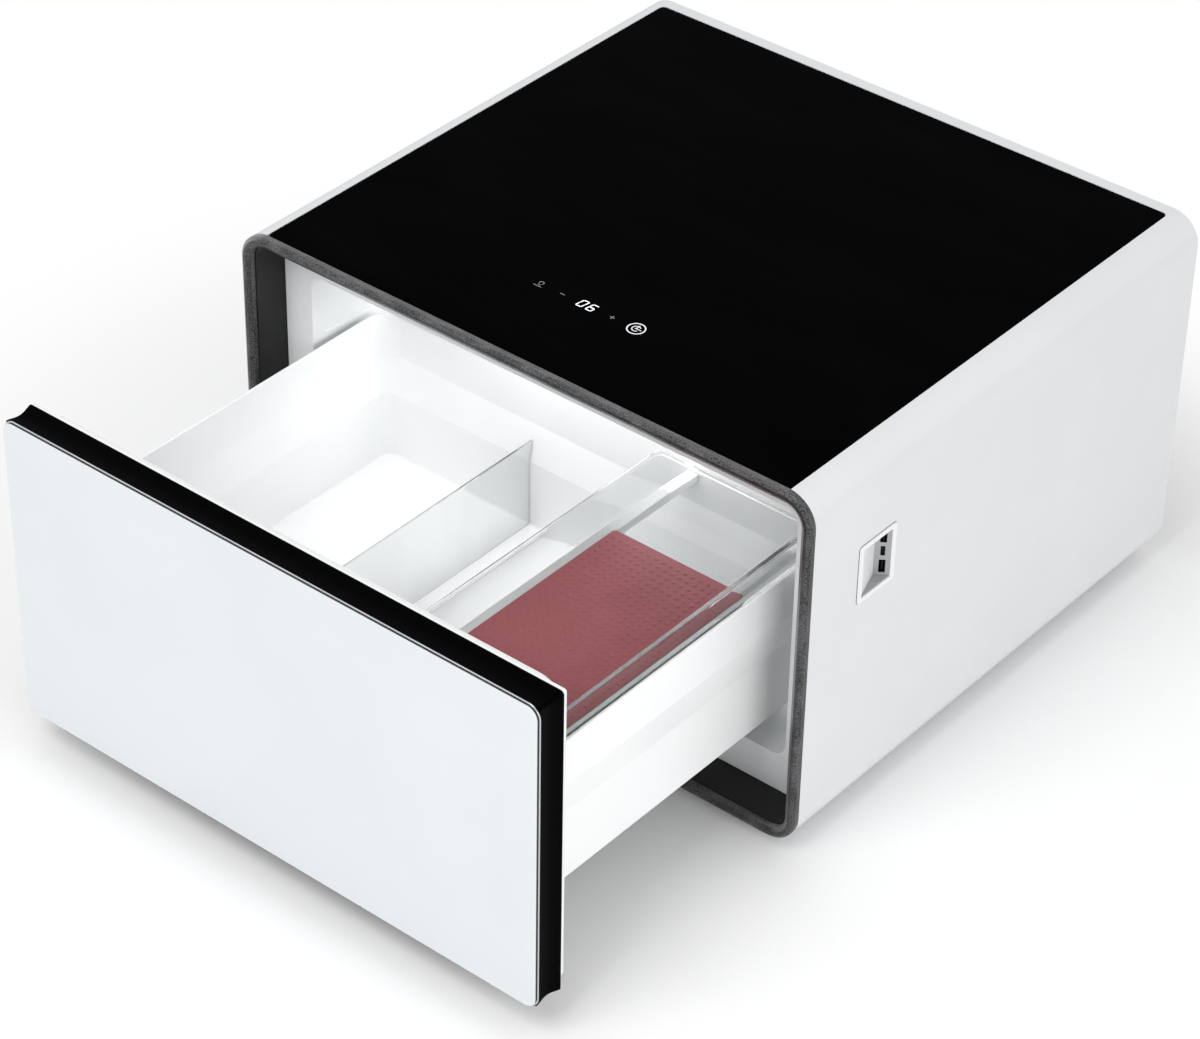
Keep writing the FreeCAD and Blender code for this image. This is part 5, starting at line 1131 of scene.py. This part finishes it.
@dataclass
class DrawerFront(Assembly):
    """Drawer front: white glass, bright bead, black grip frame, inner panel and gasket."""

    body: str = "drawer"
    glass_radius: float = 11 * MM
    bevel: float = 0.7 * MM
    face: float = 1.5 * MM
    seal_inset: float = 0.5 * MM
    bead_radius: float = 12.5 * MM
    bead_width: float = 14 * MM
    frame_radius: float = 4 * MM
    frame_front: float = 1 * MM
    groove: float = 1.8 * MM
    groove_power: float = 1.3
    core: float = 16 * MM
    core_radius: float = 5 * MM
    core_floor: float = 3 * MM
    panel_edge: float = 1.2 * MM
    panel_radius: float = 2.5 * MM
    panel_lip: float = 0.2 * MM
    panel_lip_depth: float = 0.3 * MM
    gasket_width: float = 12 * MM
    gasket_radius: float = 28 * MM

    def build(self) -> None:
        """Build each layer from the glass to the gasket."""
        self.glass()
        self.bead()
        self.grip()
        self.panel()
        self.gasket()
        self.keep(Paint.FOAM, "front_foam")

    def glass(self) -> None:
        """Build the glass with its polished edge, and behind it a dark sheet that paints the dark reflection
        of the glass's edge.
        """
        box = Box.of("front_glass")
        radius, inset = self.glass_radius, self.seal_inset
        edge = [*rounding(self.bevel, 90, 0, 3), (0.0, self.face)]
        sections = [(box.front + depth, inward, radius - inward) for inward, depth in edge]
        self.stack("drawer_glass", Plane.FRONT, sections, Paint.FRONT_GLASS, "front_glass")
        # painted reflection: the dark sheet behind the glass stands for the dark look of the glass's edge
        sections = [(depth, inset, radius - inset) for depth in (box.front + self.face, box.back)]
        self.stack("drawer_glass_seal", Plane.FRONT, sections, Paint.SEAL, "front_glass")

    def bead(self) -> None:
        """Carry the bead's round nose round the glass."""
        box = Box.of("front_bead")
        deep = box.size[1]
        profile = around(deep / 2, arc(90, -90, 8), -deep / 2, deep / 2)
        profile += [(-self.bead_width, 0.0), (-self.bead_width, deep)]
        self.ring("drawer_bead", Side.FRONT, box, profile, self.bead_radius, Paint.BEAD, "front_bead")

    def grip(self) -> None:
        """Build the frame with its hollow-faced finger groove."""
        box = Box.of("front_frame")
        steps = 12
        sections = []
        for step in range(steps + 1):
            along = step / steps
            hollow = self.groove * math.sin(math.pi * along) ** self.groove_power
            inset = hollow + self.frame_front * (1 - along)
            sections.append((box.front + box.size[1] * along, inset, self.frame_radius))
        floor = box.front + self.core_floor
        sections += [(depth, self.core, self.core_radius) for depth in (box.back, floor)]
        self.stack("drawer_grip", Plane.FRONT, sections, Paint.FRAME, "front_frame")

    def panel(self) -> None:
        """Build the inner panel with soft edges."""
        box = Box.of("front_inner_panel")
        radius = self.panel_radius
        levels = [(box.front, self.panel_lip), (box.front + self.panel_lip_depth, 0.0)]
        levels += [(box.back - drop, inset) for inset, drop in rounding(self.panel_edge, 0, 90, 4)]
        sections = [(depth, inset, radius) for depth, inset in levels]
        self.stack("drawer_inner_panel", Plane.FRONT, sections, Paint.LINER, "front_inner_panel")

    def gasket(self) -> None:
        """Carry the gasket's bellows section round the panel."""
        box = Box.of("door_gasket")
        deep = box.size[1] / MM
        outside = [(-1.0, 0.0), (0.0, 0.8), (0.0, 2.4), (-1.6, 3.6), (-1.6, 4.6), (0.0, 5.8)]
        outside += [(0.0, deep - 0.8), (-0.8, deep)]
        profile = [(out * MM, depth * MM) for out, depth in outside]
        profile += [(-self.gasket_width - out, depth) for out, depth in reversed(profile)]
        self.ring("drawer_gasket", Side.FRONT, box, profile, self.gasket_radius, Paint.GASKET, "door_gasket")


@dataclass
class DrawerTub(Assembly):
    """White tub with a stepped side, ribs for the divider, and its screws."""

    body: str = "drawer"
    wall: float = 3 * MM
    step: float = 8 * MM
    step_low: float = 74 * MM
    step_high: float = 112 * MM
    corner: float = 24 * MM
    least_corner: float = 2 * MM
    front_corner: float = 1 * MM
    foot: float = 3 * MM
    floor_fillet: float = 2 * MM
    rim: float = 1.5 * MM
    crease: float = 1.2 * MM
    rib_high: float = 82 * MM
    rib_reach: float = 3 * MM
    rib_half: float = 0.9 * MM
    rib_gap: float = 1.3 * MM
    rib_root: float = 0.5 * MM
    rib_draft: float = 0.4 * MM
    rib_slope: float = 3 * MM
    rib_edge: float = 0.35 * MM
    rail_edge: float = 1.5
    head: float = 4 * MM
    screw_pitch: float = 150 * MM

    def build(self) -> None:
        """Build the tub, its ribs and its screws."""
        box = Box.of("drawer_tub")
        self.set_in("tub_shell", loft("tub_shell", Plane.TOP, self.rings(box)), Paint.TUB, "drawer_tub")
        self.ribs(box)
        self.screws()
        self.soften(self.rail_edge, Paint.TUB, "tray_rails")

    def plan(self, box: Box, inset: float, ahead: float) -> list[Point]:
        """Return the tub's plan, inset all round but for its front: square there, rounded at the back."""
        front, back = self.front_corner, max(self.corner - inset, self.least_corner)
        sides = (box.left + inset, box.right - inset, box.front + ahead, box.back - inset)
        return rounded(*sides, (front, back, back, front), 12)

    def rings(self, box: Box) -> list[Ring]:
        """Return the rings from the underside, over the rim, down to the floor inside.

        Args:
            box: the tub's box.

        Returns:
            The rings, for a stack along z.
        """
        low, high, wall, step, near = box.low, box.high, self.wall, self.step, self.crease
        start, end = low + self.step_low, low + self.step_high
        lean = step * near / (end - start)
        outside = [(start - near, step), (start, step - lean / 2), (start + near, step - lean)]
        outside += [(end - near, lean), (end, lean / 2), (end + near, 0.0)]
        rings = [
            (low + rise, self.plan(box, step + inset, 0.0)) for inset, rise in rounding(self.foot, 90, 0, 5)
        ]
        rings += [(z, self.plan(box, inset, 0.0)) for z, inset in outside]
        for across, rise in around(1.0, arc(180, 0, 8)):
            inset = wall / 2 * (1 + across)
            rings.append((high - self.rim + self.rim * rise, self.plan(box, inset, inset)))
        rings += [(z, self.plan(box, inset + wall, wall)) for z, inset in reversed(outside)]
        for inset, rise in rounding(self.floor_fillet, 0, 90, 5):
            rings.append((low + wall + rise, self.plan(box, step + wall + inset, wall)))
        return rings

    def ribs(self, box: Box) -> None:
        """Build the four ribs that hold the divider.

        Args:
            box: the tub's box.
        """
        divider = Box.of("clear_divider")
        floor, top = box.low + self.wall - self.rib_root, box.low + self.rib_high
        root, reach = -self.rib_root, self.rib_reach
        points = [(root, floor), (reach, floor), (reach - self.rib_draft, top - self.rib_slope), (root, top)]
        work = bmesh.new()
        for x in (divider.left - self.rib_gap, divider.right + self.rib_gap):
            for y, towards in ((box.front + self.wall, 1), (box.back - self.wall, -1)):
                sides = (x - self.rib_half, x + self.rib_half)
                skin(work, [[(side, y + towards * out, z) for out, z in points] for side in sides])
        bmesh.ops.bevel(
            work, geom=work.edges[:], offset=self.rib_edge, segments=2, profile=0.5, affect="EDGES"
        )
        self.set_in("tub_ribs", to_mesh("tub_ribs", work), Paint.TUB)

    def screws(self) -> None:
        """Set the screws that hold the tub to its hangers."""
        box = Box.of("tub_screws")
        places = [
            (x, box.front + self.head + index * self.screw_pitch, box.low + SCREW_HEAD)
            for x in (box.left + self.head, box.right - self.head)
            for index in range(3)
        ]
        mesh = screw(self.head, box.size[2] - SCREW_HEAD - SCREW_TIP)
        self.repeat("tub_fixings", mesh, places, (math.pi, 0, 0), Paint.SCREW, "tub_screws")


@dataclass
class FruitBin(Assembly):
    """Clear bin with a raised rim, and the studded mat on its floor."""

    body: str = "bin"
    wall: float = 2.2 * MM
    draft: float = 2 * MM
    rim: float = 2.5 * MM
    rim_height: float = 3 * MM
    neck: float = 1 * MM
    neck_flare: float = 0.4 * MM
    inner_edge: float = 0.6 * MM
    corner: float = 9 * MM
    least_corner: float = 1 * MM
    foot: float = 3 * MM
    floor_fillet: float = 2 * MM
    mat_edge: float = 0.3 * MM
    mat_radius: float = 3 * MM
    mat_margin: float = 6 * MM
    stud_pitch: float = 8 * MM
    stud_high: float = 0.7 * MM
    stud_root: float = 0.1 * MM

    def build(self) -> None:
        """Build the bin and its mat."""
        mesh = loft("clear_bin", Plane.TOP, self.rings(Box.of("fruit_bin")), 40.0, False)
        self.set_in("clear_bin", mesh, Paint.CLEAR, "fruit_bin")
        box = Box.of("bin_mat")
        top = box.high - self.stud_high
        self.sheet(box, top)
        self.studs(box, top)

    def rings(self, box: Box) -> list[Ring]:
        """Return the rings from the foot, over the rim, down to the floor inside.

        Args:
            box: the bin's box.

        Returns:
            The rings, for a stack along z.
        """
        low, high, corner, wall = box.low, box.high, self.corner, self.wall
        under, floor, wide = high - self.rim_height, low + wall, corner + self.rim
        edge = self.inner_edge

        def drafted(z: float, inset: float, radius: float) -> Ring:
            """Return the drafted plan at a height."""
            shrink = self.rim + self.draft * (high - z) / box.size[2] + inset
            return z, box.outline(Plane.TOP, shrink, max(radius, self.least_corner))

        foot, fillet = rounding(self.foot, 90, 0, 5), rounding(self.floor_fillet, 0, 90, 5)
        nosing = ((under, 0.5, 0.5), (under + 0.5 * MM, 0.0, 0.0), (high - 0.7 * MM, 0.0, 0.0))
        nosing += ((high - 0.2 * MM, 0.25, 0.0), (high, 0.8, 0.8))
        return [
            *(drafted(low + rise, inset, corner - inset / 2) for inset, rise in foot),
            drafted(under - self.neck, 0.0, corner),
            drafted(under, -self.neck_flare, corner),
            *((z, box.outline(Plane.TOP, inset * MM, wide - less * MM)) for z, inset, less in nosing),
            drafted(high, wall - edge, corner - wall + edge),
            drafted(high - edge, wall, corner - wall),
            *(drafted(floor + rise, wall + inset, corner - wall - inset) for inset, rise in fillet),
        ]

    def sheet(self, box: Box, top: float) -> None:
        """Build the mat's sheet.

        Args:
            box: the mat's box.
            top: the sheet's height.
        """
        edge = self.mat_edge
        levels = ((box.low, edge), (box.low + edge, 0.0), (top - edge, 0.0), (top, edge))
        sections = [(z, inset, self.mat_radius) for z, inset in levels]
        self.stack("mat_sheet", Plane.TOP, sections, Paint.MAT, "bin_mat")

    def studs(self, box: Box, top: float) -> None:
        """Set the studs in rows on the mat.

        Args:
            box: the mat's box.
            top: the sheet's height.
        """
        pitch, high, root = self.stud_pitch, self.stud_high, self.stud_root
        columns, rows = (int((side - 2 * self.mat_margin) / pitch) for side in box.size[:2])
        x, y, _ = box.middle
        places = [
            (x + (column - columns / 2) * pitch, y + (row - rows / 2) * pitch, top - root)
            for row in range(rows + 1)
            for column in range(columns + 1)
        ]
        dome = ((0.0, 2.4), (0.4 * high, 2.2), (0.8 * high, 1.5), (high + root, 0.5))
        rings = [(z, around(reach * MM, circle(12))) for z, reach in dome]
        mesh = loft("stud", Plane.TOP, rings)
        self.repeat("mat_studs", mesh, places, (0, 0, 0), Paint.MAT, "bin_mat")


@dataclass
class ClearDivider(Assembly):
    """Clear divider between the ribs of the tub."""

    body: str = "divider"
    edge: float = 0.6

    def build(self) -> None:
        """Round the divider's edges."""
        self.soften(self.edge, Paint.CLEAR, "clear_divider")


@dataclass
class SlideRails(Assembly):
    """Telescoping slides with their brackets and hangers."""

    edge: float = 0.3

    def build(self) -> None:
        """Round the folded edges of every member on both sides."""
        for side in ("left", "right"):
            members = {
                "cabinet": ("rail_bracket", "cabinet_rail"),
                f"slide_{side}": ("middle_rail",),
                "drawer": ("drawer_rail", "slide_hanger"),
            }
            for body, names in members.items():
                self.body = body
                self.soften(self.edge, Paint.ZINC, *(f"{name}_{side}" for name in names))


@dataclass
class MachineBay(Assembly):
    """Compressor, condenser, fan, lines and control box behind the rear panel."""

    def build(self) -> None:
        """Dress the machinery."""
        self.keep(Paint.ENAMEL, "compressor")
        self.keep(Paint.RUBBER, "compressor_mounts")
        self.keep(Paint.CONDENSER, "condenser_coil")
        self.keep(Paint.PLASTIC, "fan_frame", "fan_rotor")
        self.keep(Paint.COPPER, "refrigerant_lines")
        self.keep(Paint.GREY, "evaporation_tray", "control_box")
        self.keep(Paint.BOARD, "control_board")


@dataclass
class RearPanel(Assembly):
    """Rear panel with its vents, screws and power inlet."""

    edge: float = 0.25
    inlet_edge: float = 0.3
    head: float = 4 * MM
    screw_levels: Point = (0.25, 0.75)  # of the side screws, as parts of the shell's height

    def build(self) -> None:
        """Soften the panel and the inlet, and set the screws."""
        self.soften(self.edge, Paint.ZINC, "back_panel")
        self.soften(self.inlet_edge, Paint.PLASTIC, "power_inlet")
        box = Box.of("rear_screws")
        shell = Box.of("outer_shell")
        wide, _, tall = shell.size
        seat = box.back - SCREW_HEAD
        side, heights = box.right - self.head, (box.low + self.head, box.high - self.head)
        places = [(x * side, seat, shell.low + tall * part) for x in (-1, 1) for part in self.screw_levels]
        places += [(x * wide / 3, seat, z) for x in (-1, 1) for z in heights]
        mesh = screw(self.head, seat - box.front - SCREW_TIP / 2)
        self.repeat("rear_fixings", mesh, places, (-math.pi / 2, 0, 0), Paint.SCREW, "rear_screws")


@dataclass
class Feet(Assembly):
    """Four rubber feet and their screws."""

    edge: float = 1.5 * MM
    top_edge: float = 0.8 * MM
    bore: float = 2.8 * MM
    recess: float = 6 * MM
    waist: float = 0.7 * MM
    waist_levels: tuple[float, ...] = (0.62, 0.56, 0.5, 0.44)  # as parts of the height
    rib: float = 0.6 * MM
    tread: Point = (5 * MM, 7.4 * MM)  # both sides of the groove, from the rim
    head: float = 5 * MM

    def build(self) -> None:
        """Build each foot with its recess and ribs, and set the screws."""
        box = Box.of("foot_screws")
        places = []
        for name in ("foot_front_left", "foot_front_right", "foot_rear_left", "foot_rear_right"):
            foot = Box.of(name)
            self.foot(name, foot)
            places.append((*foot.middle[:2], box.low + SCREW_HEAD))
        mesh = screw(self.head, box.size[2] - SCREW_HEAD - SCREW_TIP)
        self.repeat("foot_fixings", mesh, places, (math.pi, 0, 0), Paint.SCREW, "foot_screws")

    def foot(self, name: str, box: Box) -> None:
        """Build one foot by turning its section.

        Args:
            name: the foot's node.
            box: its box.
        """
        radius, tall = box.size[0] / 2, box.size[2]
        bore, recess, waist, rib = self.bore, self.recess, radius - self.waist, self.rib
        near, far = radius - self.tread[0], radius - self.tread[1]
        section = [(bore, tall), (radius - self.top_edge, tall), (radius, tall - self.top_edge)]
        reaches = (radius, waist, waist, radius)
        section += [(reach, tall * level) for reach, level in zip(reaches, self.waist_levels)]
        section += [(radius, self.edge)]
        section += [(radius - inset, rise) for inset, rise in rounding(self.edge, 20, 90, 4)]
        section += [(near, 0.0), (near - rib, rib), (far + rib, rib), (far, 0.0)]
        section += [(recess + rib, 0.0), (recess, rib), (recess, tall / 2), (bore, tall / 2)]
        turns = circle(48)
        x, y, _ = box.middle
        rows = [[(*point, box.low + up) for point in around(reach, turns, x, y)] for reach, up in section]
        work = bmesh.new()
        skin(work, rows, True)
        self.set_in(f"{name}_rubber", to_mesh(name, work), Paint.RUBBER, name)


# stage


@dataclass(frozen=True)
class Lamp:
    """A soft rectangular light: its place, what it looks at, its sides and its power in watts."""

    name: str
    size: Point
    place: Place
    target: Place
    power: float

    def hang(self) -> None:
        """Add the light to the scene."""
        light = bpy.data.lights.new(self.name, "AREA")
        light.shape = "RECTANGLE"
        light.size, light.size_y = self.size
        light.energy = self.power
        item = bpy.data.objects.new(self.name, light)
        bpy.context.scene.collection.objects.link(item)
        item.location = self.place
        item.rotation_euler = (Vector(self.place) - Vector(self.target)).to_track_quat("Z", "Y").to_euler()


@dataclass
class StudioStage:
    """Pale floor, soft light and the camera, whose angles are in degrees and sensor in millimetres."""

    lens: float = 114.8
    sensor: float = 36.0
    azimuth: float = 39.1
    elevation: float = 36.4
    roll: float = 1.1
    place: Place = (1.7833, -2.3626, 2.2293)
    ambient: float = 0.7
    shadow_reach: Point = (0.54, 0.9)
    shadow_middle: Place = (0.0, -0.16, 0.0)
    floor_size: float = 40.0
    floor_cloud: float = 0.6
    floor_light: tuple[float, ...] = (0.97, 0.97, 0.97, 1.0)
    floor_dark: tuple[float, ...] = (0.96, 0.96, 0.962, 1.0)
    lamps: tuple[Lamp, ...] = (
        Lamp("overhead_box", (2.0, 2.0), (-0.1, -2.6, 3.4), (0.0, -0.2, 0.15), 56.0),
        Lamp("front_box", (1.6, 1.6), (3.4, -1.5, 1.5), (0.0, -0.2, 0.15), 34.0),
        Lamp("cavity_lamp", (0.34, 0.3), (0.0, -0.07, 0.322), (0.0, -0.07, 0.0), 1.05),
    )

    def build(self) -> None:
        """Set the floor, the world, the lamps and the camera."""
        self.floor()
        self.world()
        for lamp in self.lamps:
            lamp.hang()
        self.camera()
        bpy.context.scene.view_settings.view_transform = "Standard"

    def floor(self) -> None:
        """Lay a large plain floor that shades to plain white away from the nightstand."""
        half = self.floor_size / 2
        mesh = bpy.data.meshes.new("floor")
        corners = [(-half, -half, 0), (half, -half, 0), (half, half, 0), (-half, half, 0)]
        mesh.from_pydata(corners, [], [(0, 1, 2, 3)])
        material = bpy.data.materials.new("floor")
        material.use_nodes = True
        graph = Graph(material.node_tree)
        where = graph.node("ShaderNodeTexCoord", output="Object")
        cloud = graph.noise(where, self.floor_cloud, 2.0)
        colour = graph.mix(cloud, self.floor_light, self.floor_dark)
        values = {"Base Color": colour, "Roughness": 0.9, "Specular IOR Level": 0.0}
        shader = graph.node("ShaderNodeBsdfPrincipled", values)
        centre = {0: where, 1: self.shadow_middle}
        reach = graph.node("ShaderNodeVectorMath", centre, "Value", operation="DISTANCE")
        seen = graph.node("ShaderNodeLightPath", output="Is Camera Ray")
        white = graph.node("ShaderNodeEmission", {"Color": WHITE, "Strength": 1.0})
        far = {0: reach.ramp(*self.shadow_reach) * seen, 1: shader, 2: white}
        graph.node("ShaderNodeOutputMaterial", {"Surface": graph.node("ShaderNodeMixShader", far)})
        mesh.materials.append(material)
        piece("floor", mesh)

    def world(self) -> None:
        """Light evenly, and show white to the camera, to mirrors and through clear plastic."""
        world = bpy.data.worlds.new("studio")
        world.use_nodes = True
        bpy.context.scene.world = world
        graph = Graph(world.node_tree)
        path = graph.node("ShaderNodeLightPath", output="Is Camera Ray")
        seen = path.math("MAXIMUM", path.other("Is Glossy Ray"))
        seen = seen.math("MAXIMUM", path.other("Is Transmission Ray"))
        values = {"Color": WHITE, "Strength": seen * (1 - self.ambient) + self.ambient}
        background = graph.node("ShaderNodeBackground", values)
        graph.node("ShaderNodeOutputWorld", {"Surface": background})

    def camera(self) -> None:
        """Place the camera."""
        camera = bpy.data.cameras.new("camera")
        camera.lens = self.lens
        camera.sensor_width = self.sensor
        item = bpy.data.objects.new("camera", camera)
        bpy.context.scene.collection.objects.link(item)
        azimuth, elevation, roll = map(math.radians, (self.azimuth, self.elevation, self.roll))
        level = math.cos(elevation)
        back = Vector((math.sin(azimuth) * level, -math.cos(azimuth) * level, math.sin(elevation)))
        right = Vector((math.cos(azimuth), math.sin(azimuth), 0))
        up = back.cross(right)
        turned = right * math.cos(roll) + up * math.sin(roll)
        upright = up * math.cos(roll) - right * math.sin(roll)
        basis = Matrix((turned, upright, back)).transposed().to_4x4()
        item.matrix_world = Matrix.Translation(Vector(self.place)) @ basis
        bpy.context.scene.camera = item


def main() -> None:
    """Build the stage and every sub-assembly."""
    logging.basicConfig(level=logging.INFO, format="%(name)s: %(message)s")
    StudioStage().build()
    trees = (sweep_tree(), scatter_tree())
    parts = (
        CabinetShell, GlassTop, FrontTrim, ColdCavity, SidePort, DrawerFront, DrawerTub, FruitBin,
        ClearDivider, SlideRails, MachineBay, RearPanel, Feet,
    )
    for part in parts:
        LOG.info("building %s", part.__name__)
        part(*trees).build()


if __name__ == "__main__":
    main()
